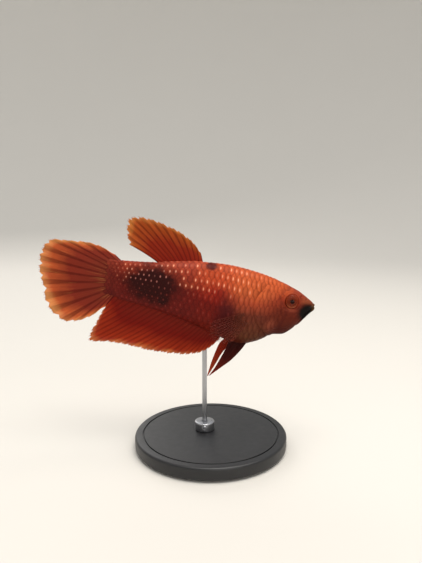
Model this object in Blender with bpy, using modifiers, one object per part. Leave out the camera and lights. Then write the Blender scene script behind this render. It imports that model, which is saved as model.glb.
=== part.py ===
"""Short-finned red betta (Betta splendens), a life-size still model held by one rod on a round base.

The fish is drawn in its own frame: the snout tip is the zero point, the body runs back along -X,
+Y is the fish's left side and +Z its back. Its outlines are given as fish are measured, in per cent
of the standard length (snout tip to the root of the tail fin), as (distance behind the snout,
height above the snout). The empty "fish_pose" then puts the fish over the base, nose slightly down.
"""
import math

import bmesh
import bpy
from mathutils import Vector

# Driving sizes, in metres.
STANDARD_LENGTH = 0.042
PERCENT = STANDARD_LENGTH / 100
GAP = 0.0003
GAP_PERCENT = GAP / PERCENT
HALF_GAP = GAP_PERCENT / 2
FIN_THICKNESS = 0.0005
NOSE_DOWN = math.radians(8)
SNOUT_AHEAD_OF_BASE = 0.0213
SNOUT_HEIGHT = 0.030

# The body, in per cent of the standard length.
BACK_LINE = ((0, 1.5), (3.2, 3.6), (9.7, 7.3), (23.6, 11.7), (38.8, 14.3), (51.2, 14.7), (64, 13.6),
             (77, 11.5), (90, 10.3), (100, 9.8))
BELLY_LINE = ((0, -1.0), (4.3, -6.3), (7.7, -10.4), (12.9, -15.2), (19, -16.6), (26.5, -20.8),
              (34.5, -23.2), (42, -21.5), (52, -17.8), (71, -12.6), (90, -8.8), (100, -7.8))
HALF_WIDTH = ((0, 2.0), (3.3, 3.9), (7.1, 5.0), (12.4, 6.1), (19, 7.2), (27.4, 8.0), (35, 8.7),
              (47, 7.9), (62, 6.1), (76, 4.5), (90, 3.0), (100, 1.9))
WIDEST_LEVEL = ((0, 0.2), (7, -1.5), (14, -3.0), (24, -4.2), (35, -5.5), (52, -2.0), (76, -0.3),
                (100, 0.4))
SNOUT_ROUNDING = 1.3
TAIL_ROUNDING = 1.6
SECTION_POWER = 2.15
BODY_RINGS = 46
BODY_SIDES = 32
# The body's sections crowd towards its ends: the first two and the last have places of their own.
FIRST_SECTION = 0.25
SECOND_SECTION = 0.8
LAST_SECTION = 99.6
EVEN_CROWDING_SHARE = 0.55
SNOUT_CROWDING_POWER = 1.3
SHARP_EDGE = math.radians(40)

# The spine swings towards the right side from here back.
SWING_START = 35
SWING_END = 136
TAIL_SWING = 4.0

# Where the body is parted, in per cent of the standard length.
GILL_LINE = ((23.0, 16), (25.6, 7.5), (29.3, 1.5), (30.0, -4.5), (27.0, -11.2), (22.0, -15.6),
             (17.0, -19))
CHEEK_LINE = ((22.6, 8.0), (18.9, 4.6), (17.3, -1.2), (18.0, -7.5), (20.6, -13.0), (22.6, -17))
GAPE_LINE = ((-2, 1.4), (1.0, 0.0), (3.4, -1.9), (5.6, -4.6))
JAW_REAR_LINE = ((5.6, -4.6), (7.4, -8.0), (9.4, -15))
TAIL_STALK_START = 78
GILL_COVER_DEPTH = 4.4
# The blocks that part the body reach well past it, to these places.
AHEAD_OF_SNOUT = -12
BEHIND_TAIL = 120
OVER_BACK = 40
UNDER_BELLY = -40
UNDER_THROAT = (17, UNDER_BELLY)
OVER_NAPE = (23, OVER_BACK)
UNDER_CHIN = (-6, -15)
COVER_BLOCK_REAR = 40
COVER_BLOCK_LOW = -17
COVER_BLOCK_HIGH = 8.0
GAPE_SETBACK = 0.6
PART_WIDTH = 30
GILL_LINE_STEPS = 14
CHEEK_LINE_STEPS = 12
GAPE_LINE_STEPS = 6
JAW_REAR_STEPS = 5

EYE_BEHIND = 12.4
EYE_UP = 1.9
EYE_SIDE = 4.2
EYE_RADIUS = 3.45
EYE_BULGE_RADIUS = 2.5
EYE_SEGMENTS = 24
EYE_RINGS = 12

# Fins: where the rays leave the body, and where they end, from the first ray to the last.
DORSAL_ROOT = ((57.0, 13.2), (67.0, 12.0), (77.0, 10.6))
DORSAL_TIPS = ((58.8, 18.6), (62.6, 22.9), (67.8, 26.3), (74.2, 28.9), (81.0, 30.7), (87.6, 31.6),
               (92.8, 31.0), (95.0, 28.6), (94.6, 23.2), (92.6, 18.0))
ANAL_ROOT = ((43.0, -19.6), (52.0, -16.2), (71.0, -11.2), (96.0, -6.8))
ANAL_TIPS = ((44.6, -23.4), (50.5, -29.2), (58.5, -32.4), (67.5, -33.0), (77.5, -32.5),
             (87.0, -31.2), (97.0, -30.9), (107.0, -31.2), (104.4, -21.8), (100.1, -13.4))
CAUDAL_ROOT = ((95.0, 9.0), (98.5, 6.0), (99.0, 0.4), (98.5, -4.6), (97.0, -6.6))
CAUDAL_TIPS = ((99.4, 12.2), (108.6, 16.0), (120.4, 16.4), (129.8, 15.2), (133.8, 8.6), (133.8, 0.8),
               (131.6, -8.0), (127.8, -17.6), (118.8, -23.0), (108.8, -19.8), (101.2, -13.6))
RIGHT_PELVIC_FRONT = ((30.4, -21.0), (33.2, -25.9), (37.0, -31.0), (41.5, -35.3), (45.9, -39.4))
RIGHT_PELVIC_REAR = ((39.0, -21.0), (41.0, -26.4), (42.9, -31.2), (44.6, -35.8), (46.6, -40.0))
LEFT_PELVIC_FRONT = ((33.0, -20.8), (37.8, -25.0), (41.2, -30.0), (43.6, -36.2), (46.5, -43.4))
LEFT_PELVIC_REAR = ((38.8, -20.4), (42.8, -24.8), (44.5, -30.2), (45.8, -36.2), (47.0, -44.0))
PELVIC_SIDE_AT_ROOT = 2.6
PELVIC_SIDE_AT_TIP = 5.4
PECTORAL_ROOT = ((31.6, -5.2), (31.2, -9.0))
PECTORAL_LENGTH = 21.0
PECTORAL_ROUNDING = 0.95
PECTORAL_LONGEST_AT = 0.42
PECTORAL_TIPS = 7
PECTORAL_TOP_RAY_FALL = math.radians(12)
PECTORAL_LOW_RAY_FALL = math.radians(62)
PECTORAL_SIDE_AT_ROOT = 7.8
PECTORAL_SIDE_AT_TIP = 12.4
# How finely each fin's sheet is parted: (strips from the first ray to the last, steps along a ray).
DORSAL_GRID = (18, 4)
ANAL_GRID = (26, 4)
CAUDAL_GRID = (26, 6)
PELVIC_GRID = (12, 3)
PECTORAL_GRID = (14, 4)

# The stand, in metres.
BASE_RADIUS = 0.016
BASE_HEIGHT = 0.003
BASE_EDGE_ROUNDING = 0.0006
COLLAR_RADIUS = 0.0021
COLLAR_HEIGHT = 0.0016
ROD_RADIUS = 0.0005
ROD_BEHIND = 54.4
ROD_SIDE = 0.00125
ROD_TOP_ABOVE_SNOUT = 0.0002
BASE_SIDES = 64
ROD_SIDES = 20
EDGE_ROUNDING_STEPS = 3
WELD_DISTANCE = 0.00001

COLOURS = {
    "back": (0.62, 0.13, 0.04),
    "flank": (0.36, 0.03, 0.015),
    "jaw": (0.02, 0.012, 0.01),
    "eye": (0.16, 0.02, 0.01),
    "fin": (0.32, 0.03, 0.012),
    "dark_fin": (0.06, 0.01, 0.008),
    "clear_fin": (0.45, 0.12, 0.05),
    "base": (0.03, 0.03, 0.032),
    "rod": (0.55, 0.55, 0.56),
}


def clear_scene():
    for old in list(bpy.data.objects):
        bpy.data.objects.remove(old, do_unlink=True)


def make_collection(name):
    collection = bpy.data.collections.new(name)
    bpy.context.scene.collection.children.link(collection)
    return collection


def make_material(name, roughness=0.45, metallic=0.0):
    material = bpy.data.materials.new(name)
    material.use_nodes = True
    shader = material.node_tree.nodes["Principled BSDF"]
    shader.inputs["Base Color"].default_value = (*COLOURS[name], 1)
    shader.inputs["Roughness"].default_value = roughness
    shader.inputs["Metallic"].default_value = metallic
    return material


def add_object(name, mesh, collection, parent=None, material=None):
    made = bpy.data.objects.new(name, mesh)
    collection.objects.link(made)
    made.parent = parent
    if material:
        mesh.materials.append(material)
    return made


def mesh_from(name, bm, smooth=True):
    """Turn a bmesh into a mesh whose faces all point out."""
    bm.normal_update()
    bmesh.ops.recalc_face_normals(bm, faces=bm.faces)
    mesh = bpy.data.meshes.new(name)
    bm.to_mesh(mesh)
    bm.free()
    if smooth:
        mesh.shade_smooth()
        mesh.set_sharp_from_angle(angle=SHARP_EDGE)
    return mesh


def make_cutter(name, mesh, collection, parent):
    cutter = add_object(name, mesh, collection, parent)
    cutter.hide_render = True
    cutter.display_type = "WIRE"
    return cutter


def cut(target, cutter, operation="DIFFERENCE"):
    boolean = target.modifiers.new(f"{operation.lower()}_{cutter.name}", "BOOLEAN")
    boolean.operation = operation
    boolean.object = cutter
    boolean.solver = "EXACT"


def smooth_value(knots, at):
    """Read a smooth curve through (position, value) knots; slopes are taken from the neighbours."""
    last = len(knots) - 1
    i = 0
    while i < last - 1 and at > knots[i + 1][0]:
        i += 1

    def slope(k):
        before = knots[max(k - 1, 0)]
        after = knots[min(k + 1, last)]
        return (after[1] - before[1]) / (after[0] - before[0])

    (x0, y0), (x1, y1) = knots[i], knots[i + 1]
    span = x1 - x0
    t = (at - x0) / span
    return ((1 + 2 * t) * (1 - t) ** 2 * y0 + t * t * (3 - 2 * t) * y1
            + t * (1 - t) ** 2 * span * slope(i) + t * t * (t - 1) * span * slope(i + 1))


def along(points, share):
    """Read a smooth line through evenly numbered (behind, up) points, share 0 to 1 of its length."""
    at = share * (len(points) - 1)
    behind = smooth_value([(k, p[0]) for k, p in enumerate(points)], at)
    up = smooth_value([(k, p[1]) for k, p in enumerate(points)], at)
    return behind, up


def spine_side(behind):
    """Sideways place of the body's middle plane: straight in front, swung to the right at the tail."""
    share = max((behind - SWING_START) / (SWING_END - SWING_START), 0)
    return -TAIL_SWING * share ** 1.5


def place(behind, up, side=0.0):
    """Put a point given in per cent of the standard length into the fish's frame, in metres."""
    return Vector((-behind, spine_side(behind) + side, up)) * PERCENT


def end_rounding(behind):
    """Share of its full size that a section has near the body's two rounded ends."""
    from_end = min(behind / SNOUT_ROUNDING, (100 - behind) / TAIL_ROUNDING, 1)
    return math.sqrt(max(1 - (1 - from_end) ** 2, 0))


def body_section(behind, grow):
    """One closed section of the body, grown outwards by a distance in per cent."""
    level = smooth_value(WIDEST_LEVEL, behind)
    rounding = end_rounding(behind)
    above = (smooth_value(BACK_LINE, behind) - level) * rounding + grow
    below = (level - smooth_value(BELLY_LINE, behind)) * rounding + grow
    width = smooth_value(HALF_WIDTH, behind) * rounding + grow
    section = []
    for k in range(BODY_SIDES):
        angle = 2 * math.pi * k / BODY_SIDES
        across = math.copysign(abs(math.cos(angle)) ** (2 / SECTION_POWER), math.cos(angle))
        upright = math.copysign(abs(math.sin(angle)) ** (2 / SECTION_POWER), math.sin(angle))
        height = above if upright > 0 else below
        section.append(place(behind, level + height * upright, width * across))
    return section


def body_stations():
    """Places of the sections, crowded towards the snout and the tail root."""
    stations = []
    for k in range(1, BODY_RINGS):
        share = k / BODY_RINGS
        at_both_ends = (1 - math.cos(math.pi * share)) / 2
        at_snout = share ** SNOUT_CROWDING_POWER
        mixed = EVEN_CROWDING_SHARE * at_both_ends + (1 - EVEN_CROWDING_SHARE) * at_snout
        stations.append(100 * mixed)
    stations[0] = FIRST_SECTION
    stations.insert(1, SECOND_SECTION)
    stations.append(LAST_SECTION)
    return stations


def body_mesh(name, grow=0.0):
    """Loft the whole body through its sections, closed by a fan at each end."""
    bm = bmesh.new()
    rings = [[bm.verts.new(point) for point in body_section(s, grow)] for s in body_stations()]
    for front, rear in zip(rings, rings[1:]):
        for k in range(BODY_SIDES):
            n = (k + 1) % BODY_SIDES
            bm.faces.new((front[k], front[n], rear[n], rear[k]))
    snout = bm.verts.new(place(-grow, smooth_value(WIDEST_LEVEL, 0)))
    tail = bm.verts.new(place(100 + grow, smooth_value(WIDEST_LEVEL, 100)))
    for k in range(BODY_SIDES):
        n = (k + 1) % BODY_SIDES
        bm.faces.new((snout, rings[0][k], rings[0][n]))
        bm.faces.new((tail, rings[-1][k], rings[-1][n]))
    return mesh_from(name, bm)


def offset_line(points, shift):
    return [(behind + shift, up) for behind, up in points]


def sample_line(points, steps):
    return [along(points, k / steps) for k in range(steps + 1)]


def prism_mesh(name, outline, near=-PART_WIDTH, far=PART_WIDTH):
    """A straight-sided block over an outline of (behind, up) points, from one side to the other."""
    bm = bmesh.new()
    ends = [[bm.verts.new(Vector((-b, side, u)) * PERCENT) for b, u in outline] for side in (near, far)]
    bm.faces.new(ends[0])
    bm.faces.new(list(reversed(ends[1])))
    for k in range(len(outline)):
        n = (k + 1) % len(outline)
        bm.faces.new((ends[0][k], ends[0][n], ends[1][n], ends[1][k]))
    return mesh_from(name, bm, smooth=False)


def gill_edge(shift):
    return offset_line(sample_line(GILL_LINE, GILL_LINE_STEPS), shift)


def head_outline():
    """Everything in front of the gill opening."""
    return gill_edge(-HALF_GAP) + [(AHEAD_OF_SNOUT, UNDER_BELLY), (AHEAD_OF_SNOUT, OVER_BACK)]


def trunk_outline():
    """From the gill opening to the tail stalk."""
    rear = TAIL_STALK_START - HALF_GAP
    return gill_edge(HALF_GAP) + [UNDER_THROAT, (rear, UNDER_BELLY), (rear, OVER_BACK), OVER_NAPE]


def tail_outline():
    front = TAIL_STALK_START + HALF_GAP
    low = [(front, UNDER_BELLY), (BEHIND_TAIL, UNDER_BELLY)]
    high = [(BEHIND_TAIL, OVER_BACK), (front, OVER_BACK)]
    return low + high


def jaw_outline(shift):
    """The lower jaw: under the gape, in front of the throat."""
    gape = sample_line(GAPE_LINE, GAPE_LINE_STEPS)
    rear = sample_line(JAW_REAR_LINE, JAW_REAR_STEPS)[1:]
    raised = [(behind + shift * GAPE_SETBACK, up + shift) for behind, up in gape]
    pushed = offset_line(rear, shift)
    return raised + pushed + [UNDER_CHIN]


def gill_cover_outline(shift):
    """From the cheek back past the gill opening."""
    cheek = offset_line(sample_line(CHEEK_LINE, CHEEK_LINE_STEPS), -shift)
    return cheek + [(COVER_BLOCK_REAR, COVER_BLOCK_LOW), (COVER_BLOCK_REAR, COVER_BLOCK_HIGH + shift)]


def make_body_piece(name, outline, parent, parts, cutters, material):
    """One length of the body: the whole body inside its block."""
    piece = add_object(name, body_mesh(name), parts, parent, material)
    block = make_cutter(f"{name}_block", prism_mesh(f"{name}_block", outline), cutters, parent)
    cut(piece, block, "INTERSECT")
    return piece


def ball_mesh(name, centre, radii):
    """An eyeball-shaped solid: a sphere drawn out to three half-axes."""
    bm = bmesh.new()
    bmesh.ops.create_uvsphere(bm, u_segments=EYE_SEGMENTS, v_segments=EYE_RINGS, radius=1)
    for vert in bm.verts:
        x, y, z = vert.co
        vert.co = centre + Vector((x * radii[0], z * radii[1], -y * radii[2]))
    return mesh_from(name, bm)


def eye_centre(side):
    return Vector((-EYE_BEHIND, side * EYE_SIDE, EYE_UP)) * PERCENT


def make_eyes(head, parent, parts, cutters):
    """Two flattened balls, each in a socket of the head."""
    material = make_material("eye", roughness=0.12)
    across = EYE_RADIUS * PERCENT
    deep = EYE_BULGE_RADIUS * PERCENT
    for word, side in (("right", -1), ("left", 1)):
        centre = eye_centre(side)
        ball = ball_mesh(f"eye_{word}", centre, (across, deep, across))
        add_object(f"eye_{word}", ball, parts, parent, material)
        room = (across + GAP, deep + GAP, across + GAP)
        socket = make_cutter(f"socket_{word}", ball_mesh(f"socket_{word}", centre, room), cutters, parent)
        cut(head, socket)


def make_head(parent, parts, cutters):
    """The head with its lower jaw and its two gill covers parted off."""
    back = make_material("back")
    head = make_body_piece("head", head_outline(), parent, parts, cutters, back)

    make_body_piece("lower_jaw", jaw_outline(0), parent, parts, cutters, make_material("jaw"))
    jaw_room = prism_mesh("jaw_room", jaw_outline(GAP_PERCENT))
    cut(head, make_cutter("jaw_room", jaw_room, cutters, parent))

    for word, side in (("right", -1), ("left", 1)):
        near, far = sorted((side * GILL_COVER_DEPTH, side * PART_WIDTH))
        cover = make_body_piece(f"gill_cover_{word}", head_outline(), parent, parts, cutters, back)
        block = prism_mesh(f"cover_{word}", gill_cover_outline(0), near, far)
        cut(cover, make_cutter(f"cover_{word}", block, cutters, parent), "INTERSECT")
        near, far = sorted((side * (GILL_COVER_DEPTH - GAP_PERCENT), side * PART_WIDTH))
        room = prism_mesh(f"cover_room_{word}", gill_cover_outline(GAP_PERCENT), near, far)
        cut(head, make_cutter(f"cover_room_{word}", room, cutters, parent))

    make_eyes(head, parent, parts, cutters)


def sheet_mesh(name, root, tips, grid, side_at):
    """A fin's middle surface: straight rays from the root line to the line of tips."""
    rays, steps = grid
    bm = bmesh.new()
    rows = []
    for i in range(rays + 1):
        share = i / rays
        root_point = along(root, share)
        tip_point = along(tips, share)
        row = []
        for j in range(steps + 1):
            out = j / steps
            behind = root_point[0] + (tip_point[0] - root_point[0]) * out
            up = root_point[1] + (tip_point[1] - root_point[1]) * out
            row.append(bm.verts.new(place(behind, up, side_at(share, out))))
        rows.append(row)
    for first, second in zip(rows, rows[1:]):
        for j in range(steps):
            bm.faces.new((first[j], first[j + 1], second[j + 1], second[j]))
    mesh = bpy.data.meshes.new(name)
    bm.to_mesh(mesh)
    bm.free()
    mesh.shade_smooth()
    mesh.set_sharp_from_angle(angle=SHARP_EDGE)
    return mesh


def make_fin(name, mesh, parent, parts, body_room, material):
    """Give a fin's middle surface its thickness and fit its root to the body."""
    fin = add_object(name, mesh, parts, parent, material)
    solidify = fin.modifiers.new("thickness", "SOLIDIFY")
    solidify.thickness = FIN_THICKNESS
    solidify.offset = 0
    cut(fin, body_room)
    return fin


def make_median_fins(parent, parts, body_room):
    """The unpaired fins stand in the body's middle plane."""
    material = make_material("fin")
    plans = (
        ("dorsal_fin", DORSAL_ROOT, DORSAL_TIPS, DORSAL_GRID),
        ("anal_fin", ANAL_ROOT, ANAL_TIPS, ANAL_GRID),
        ("caudal_fin", CAUDAL_ROOT, CAUDAL_TIPS, CAUDAL_GRID),
    )
    for name, root, tips, grid in plans:
        mesh = sheet_mesh(name, root, tips, grid, lambda share, out: 0.0)
        make_fin(name, mesh, parent, parts, body_room, material)


def make_pelvic_fins(parent, parts, body_room):
    """Two narrow blades under the chest; the left one is folded and held further back."""
    plans = (
        ("pelvic_fin_right", -1, RIGHT_PELVIC_FRONT, RIGHT_PELVIC_REAR, make_material("dark_fin")),
        ("pelvic_fin_left", 1, LEFT_PELVIC_FRONT, LEFT_PELVIC_REAR, bpy.data.materials["fin"]),
    )
    for name, side, front, rear, material in plans:

        def side_at(front_share, rear_share, side=side):
            return side * (PELVIC_SIDE_AT_ROOT + (PELVIC_SIDE_AT_TIP - PELVIC_SIDE_AT_ROOT) * front_share)

        mesh = sheet_mesh(name, front, rear, PELVIC_GRID, side_at)
        make_fin(name, mesh, parent, parts, body_room, material)


def pectoral_tips():
    """Ends of the fan's rays, the ones just above the middle longest."""
    middle = along(PECTORAL_ROOT, 0.5)
    tips = []
    for k in range(PECTORAL_TIPS):
        share = k / (PECTORAL_TIPS - 1)
        fall = PECTORAL_TOP_RAY_FALL + (PECTORAL_LOW_RAY_FALL - PECTORAL_TOP_RAY_FALL) * share
        length = PECTORAL_LENGTH * (1 - PECTORAL_ROUNDING * (share - PECTORAL_LONGEST_AT) ** 2)
        tips.append((middle[0] + length * math.cos(fall), middle[1] - length * math.sin(fall)))
    return tips


def make_pectoral_fins(parent, parts, body_room):
    """Clear rounded fans behind the gill covers, laid back along the flanks."""
    material = make_material("clear_fin")
    for word, side in (("right", -1), ("left", 1)):

        def side_at(share, out, side=side):
            return side * (PECTORAL_SIDE_AT_ROOT + (PECTORAL_SIDE_AT_TIP - PECTORAL_SIDE_AT_ROOT) * out)

        mesh = sheet_mesh(f"pectoral_fin_{word}", PECTORAL_ROOT, pectoral_tips(), PECTORAL_GRID, side_at)
        make_fin(f"pectoral_fin_{word}", mesh, parent, parts, body_room, material)


def turned_mesh(name, profile):
    """Screw a profile of (radius, height) points, given top to bottom, about the Z axis."""
    bm = bmesh.new()
    points = [bm.verts.new((radius, 0, height)) for radius, height in profile]
    for upper, lower in zip(points, points[1:]):
        bm.edges.new((upper, lower))
    mesh = bpy.data.meshes.new(name)
    bm.to_mesh(mesh)
    bm.free()
    return mesh


def make_turned(name, profile, sides, parts, material):
    turned = add_object(name, turned_mesh(name, profile), parts, material=material)
    screw = turned.modifiers.new("turn", "SCREW")
    screw.steps = sides
    screw.render_steps = sides
    screw.use_merge_vertices = True
    screw.merge_threshold = WELD_DISTANCE
    screw.use_smooth_shade = True
    return turned


def rounded_disc_profile(radius, low, high, rounding):
    """A disc's outline from the top centre to the bottom centre, its upper edge rounded."""
    profile = [(0, high)]
    for k in range(EDGE_ROUNDING_STEPS + 1):
        angle = math.pi / 2 * (1 - k / EDGE_ROUNDING_STEPS)
        out = radius - rounding + rounding * math.cos(angle)
        profile.append((out, high - rounding + rounding * math.sin(angle)))
    return profile + [(radius, low), (0, low)]


def make_stand(pose, trunk, parts, cutters):
    """A flat round base, and one rod beside the anal fin that ends in a socket of the trunk."""
    base_material = make_material("base", roughness=0.4)
    rod_material = make_material("rod", roughness=0.3, metallic=1.0)
    rod_x = (pose.matrix_world @ place(ROD_BEHIND, 0)).x
    rod_top = SNOUT_HEIGHT + ROD_TOP_ABOVE_SNOUT
    base_profile = rounded_disc_profile(BASE_RADIUS, 0, BASE_HEIGHT, BASE_EDGE_ROUNDING)
    make_turned("stand_base", base_profile, BASE_SIDES, parts, base_material)

    collar_low = BASE_HEIGHT + GAP
    collar_high = collar_low + COLLAR_HEIGHT
    collar_profile = rounded_disc_profile(COLLAR_RADIUS, collar_low, collar_high, COLLAR_HEIGHT / 3)
    collar = make_turned("stand_collar", collar_profile, 2 * ROD_SIDES, parts, rod_material)
    rod_profile = rounded_disc_profile(ROD_RADIUS, collar_high + GAP, rod_top, ROD_RADIUS / 2)
    rod = make_turned("stand_rod", rod_profile, ROD_SIDES, parts, rod_material)

    hole_profile = rounded_disc_profile(ROD_RADIUS + GAP, 0, rod_top + GAP, ROD_RADIUS / 2)
    socket = make_turned("rod_socket", hole_profile, ROD_SIDES, cutters, None)
    socket.hide_render = True
    socket.display_type = "WIRE"
    cut(trunk, socket)
    for piece in (collar, rod, socket):
        piece.location = (rod_x, ROD_SIDE, 0)


def build():
    clear_scene()
    parts = make_collection("betta_fish")
    cutters = make_collection("cutters")
    pose = bpy.data.objects.new("fish_pose", None)
    parts.objects.link(pose)
    pose.location = (SNOUT_AHEAD_OF_BASE, 0, SNOUT_HEIGHT)
    pose.rotation_euler = (0, NOSE_DOWN, 0)
    bpy.context.view_layer.update()

    make_head(pose, parts, cutters)
    flank = make_material("flank")
    trunk = make_body_piece("trunk", trunk_outline(), pose, parts, cutters, flank)
    make_body_piece("tail_stalk", tail_outline(), pose, parts, cutters, flank)

    body_room = make_cutter("body_room", body_mesh("body_room", GAP_PERCENT), cutters, pose)
    make_median_fins(pose, parts, body_room)
    make_pelvic_fins(pose, parts, body_room)
    make_pectoral_fins(pose, parts, body_room)
    make_stand(pose, trunk, parts, cutters)


build()
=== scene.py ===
import math

import bpy
import numpy as np
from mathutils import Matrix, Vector


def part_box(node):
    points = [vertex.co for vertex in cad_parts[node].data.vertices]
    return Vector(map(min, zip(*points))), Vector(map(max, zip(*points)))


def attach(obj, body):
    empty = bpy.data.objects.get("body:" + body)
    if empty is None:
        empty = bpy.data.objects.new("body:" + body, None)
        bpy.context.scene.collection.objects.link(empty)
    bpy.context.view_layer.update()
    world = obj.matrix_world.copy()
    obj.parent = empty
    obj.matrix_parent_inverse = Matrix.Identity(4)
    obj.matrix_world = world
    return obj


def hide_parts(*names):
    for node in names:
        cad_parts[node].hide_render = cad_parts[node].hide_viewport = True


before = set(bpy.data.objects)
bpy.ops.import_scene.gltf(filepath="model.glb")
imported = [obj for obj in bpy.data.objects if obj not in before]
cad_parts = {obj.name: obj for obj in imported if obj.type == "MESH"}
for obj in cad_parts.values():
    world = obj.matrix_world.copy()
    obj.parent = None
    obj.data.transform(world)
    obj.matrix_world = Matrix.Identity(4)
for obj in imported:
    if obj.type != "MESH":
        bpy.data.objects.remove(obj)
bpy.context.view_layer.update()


# ---------------------------------------------------------------------------------------------
# Flesh and skin: one flexible resin casting from the lips to the root of the tail, painted and
# varnished. It takes the place of the head, jaw, gill covers, trunk and tail stalk, with the
# lips, nostrils, eye pits, gill openings and fin keels as folds in one closed surface.
# ---------------------------------------------------------------------------------------------

STANDARD_LENGTH = 0.042
PERCENT = STANDARD_LENGTH / 100
NOSE_DOWN = math.radians(8)
BACKWARD = np.array((-math.cos(NOSE_DOWN), 0, math.sin(NOSE_DOWN)))
UPWARD = np.array((math.sin(NOSE_DOWN), 0, math.cos(NOSE_DOWN)))
LEFTWARD = np.array((0, 1, 0))

# Points are (behind the snout, above its level), in percent of the standard length.
EYE_BEHIND = 12.4
EYE_UP = 1.9
EYE_SIDE = 4.2
EYE_RADIUS = 3.45
EYE_BULGE_RADIUS = 2.5
BACK_LINE = (
    (0, 1.5), (3.2, 3.6), (9.7, 7.3), (23.6, 11.7), (38.8, 14.3), (51.2, 14.7),
    (64, 13.6), (77, 11.5), (90, 10.3), (100, 9.8),
)
BELLY_LINE = (
    (0, -1.0), (4.3, -6.3), (7.7, -10.4), (12.9, -15.2), (19, -16.6), (26.5, -20.8),
    (34.5, -23.2), (42, -21.5), (52, -17.8), (71, -12.6), (90, -8.8), (100, -7.8),
)
HALF_WIDTH = (
    (0, 2.0), (3.3, 3.9), (7.1, 5.0), (12.4, 6.1), (19, 7.2), (27.4, 8.0), (35, 8.7),
    (47, 7.9), (62, 6.1), (76, 4.5), (90, 3.0), (100, 1.9),
)
WIDEST_LEVEL = (
    (0, 0.2), (7, -1.5), (14, -3.0), (24, -4.2), (35, -5.5), (52, -2.0), (76, -0.3), (100, 0.4),
)
TAIL_TAPER = ((0, 1.0), (84, 1.0), (94, 0.84), (100, 0.46), (106, 0.30))
SNOUT_ROUNDING = 1.3
TAIL_ROUNDING = 1.6
SECTION_POWER = 2.15
SWING_START = 35
SWING_END = 136
TAIL_SWING = 4.0
COAT_DEPTH = 0.2

GILL_LINE = (
    (17.0, -19), (22.0, -15.6), (27.0, -11.2), (30.0, -4.5), (29.3, 1.5), (25.6, 7.5), (23.0, 16),
)
CHEEK_LINE = ((22.6, -17), (20.6, -13.0), (18.0, -7.5), (17.3, -1.2), (18.9, 4.6), (22.6, 8.0))
GAPE_LINE = ((-2, 1.4), (1.0, 0.0), (3.4, -1.9), (5.6, -4.6))
GAPE_SLANT = 0.77
# Slit, upper lip, lower lip and the creases over and under them: height, level over the gape,
# width, and where each fades out behind the snout.
MOUTH_FOLDS = (
    (-0.75, 0.0, 0.24, 4.6, 6.4),
    (0.34, 0.75, 0.46, 3.4, 5.6),
    (0.42, -0.80, 0.50, 3.8, 6.2),
    (-0.20, 1.55, 0.30, 3.0, 5.2),
    (-0.20, -1.75, 0.34, 3.8, 6.0),
)
JAW_REAR_LINE = ((9.4, -15), (7.4, -8.0), (5.6, -4.6))
# Other folds, each as (height, distance from its line or middle, width). Round the eye both
# distance and width are in radii of the eye.
JAW_CREASE = (-0.34, 0, 0.36)
JAW_BONE = (0.16, -1.1, 0.8)
NOSTRIL_RIM = (0.26, 0.56, 0.24)
NOSTRIL_HOLE = (-0.55, 0, 0.36)
EYE_RING = (0.26, 1.06, 0.08)
EYE_MOAT = (-0.14, 1.33, 0.11)
EYE_BROW = (0.30, 1.35, 0.26)
EYE_CHEEK = (0.16, 1.62, 0.22)
CHEEK_SWELL = (0.20, -0.9, 0.8)
CHEEK_GROOVE = (-0.28, 0, 0.34)
GILL_FLAP = (0.20, -0.7, 1.1)
BACK_KEEL = (0.55, 0, 1.0)
BELLY_KEEL = (0.75, 0, 1.1)
BREAST_LOBE = (0.85, 0, 1.0)
BREAST_PIT = (-0.20, 0, 1.0)
EYE_PIT_DEPTH = 1.9
GILL_HOLLOW_DEPTH = 0.62
GILL_HOLLOW_LENGTH = 1.7
GILL_TUCK = 0.9
THROAT_RAY_DEPTH = 0.16
THROAT_RAY_WIDTH = 0.24
NOSTRILS = ((5.4, 3.3), (8.0, 4.7))
THROAT_RAY_LEVELS = (0.7, 1.7, 2.8, 4.0)
PECTORAL_LOBE = (31.8, -7.0)
DORSAL_KEEL = (55.5, 79.0)
ANAL_KEEL = (41.0, 97.0)

SKIN_SIDES = 256
SNOUT_RINGS = 12
HEAD_STEP = 0.22
TRUNK_STEP = 0.6
TAIL_STEP = 0.3
HEAD_END = 32
TAIL_START = 96


def smooth_values(knots, at):
    """Reads the smooth line through the knots at each of the given places."""
    place, height = np.array(knots, float).T
    slope = np.empty_like(height)
    slope[1:-1] = (height[2:] - height[:-2]) / (place[2:] - place[:-2])
    slope[0] = (height[1] - height[0]) / (place[1] - place[0])
    slope[-1] = (height[-1] - height[-2]) / (place[-1] - place[-2])
    at = np.clip(at, place[0], place[-1])
    k = np.clip(np.searchsorted(place, at, side="right") - 1, 0, len(place) - 2)
    gap = place[k + 1] - place[k]
    t = (at - place[k]) / gap
    start = (1 + 2 * t) * (1 - t) ** 2 * height[k] + t * (1 - t) ** 2 * gap * slope[k]
    end = t**2 * (3 - 2 * t) * height[k + 1] + t**2 * (t - 1) * gap * slope[k + 1]
    return start + end


def eyes_middle():
    """The point midway between the two eyes of the frame."""
    right_low, right_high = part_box("eye_right")
    left_low, left_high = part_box("eye_left")
    return np.array(right_low + right_high + left_low + left_high) / 4


SNOUT = eyes_middle() - PERCENT * (EYE_BEHIND * BACKWARD + EYE_UP * UPWARD)


def in_frame(points):
    """Turns (behind, up, side) in percent of the length into metres, on the bent spine."""
    behind, up, side = np.moveaxis(np.asarray(points, float), -1, 0)
    past = np.maximum((behind - SWING_START) / (SWING_END - SWING_START), 0)
    across = side - TAIL_SWING * past**1.5
    place = behind[..., None] * BACKWARD + up[..., None] * UPWARD + across[..., None] * LEFTWARD
    return SNOUT + PERCENT * place


def signed_power(value, power):
    return np.sign(value) * np.abs(value) ** power


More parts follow.
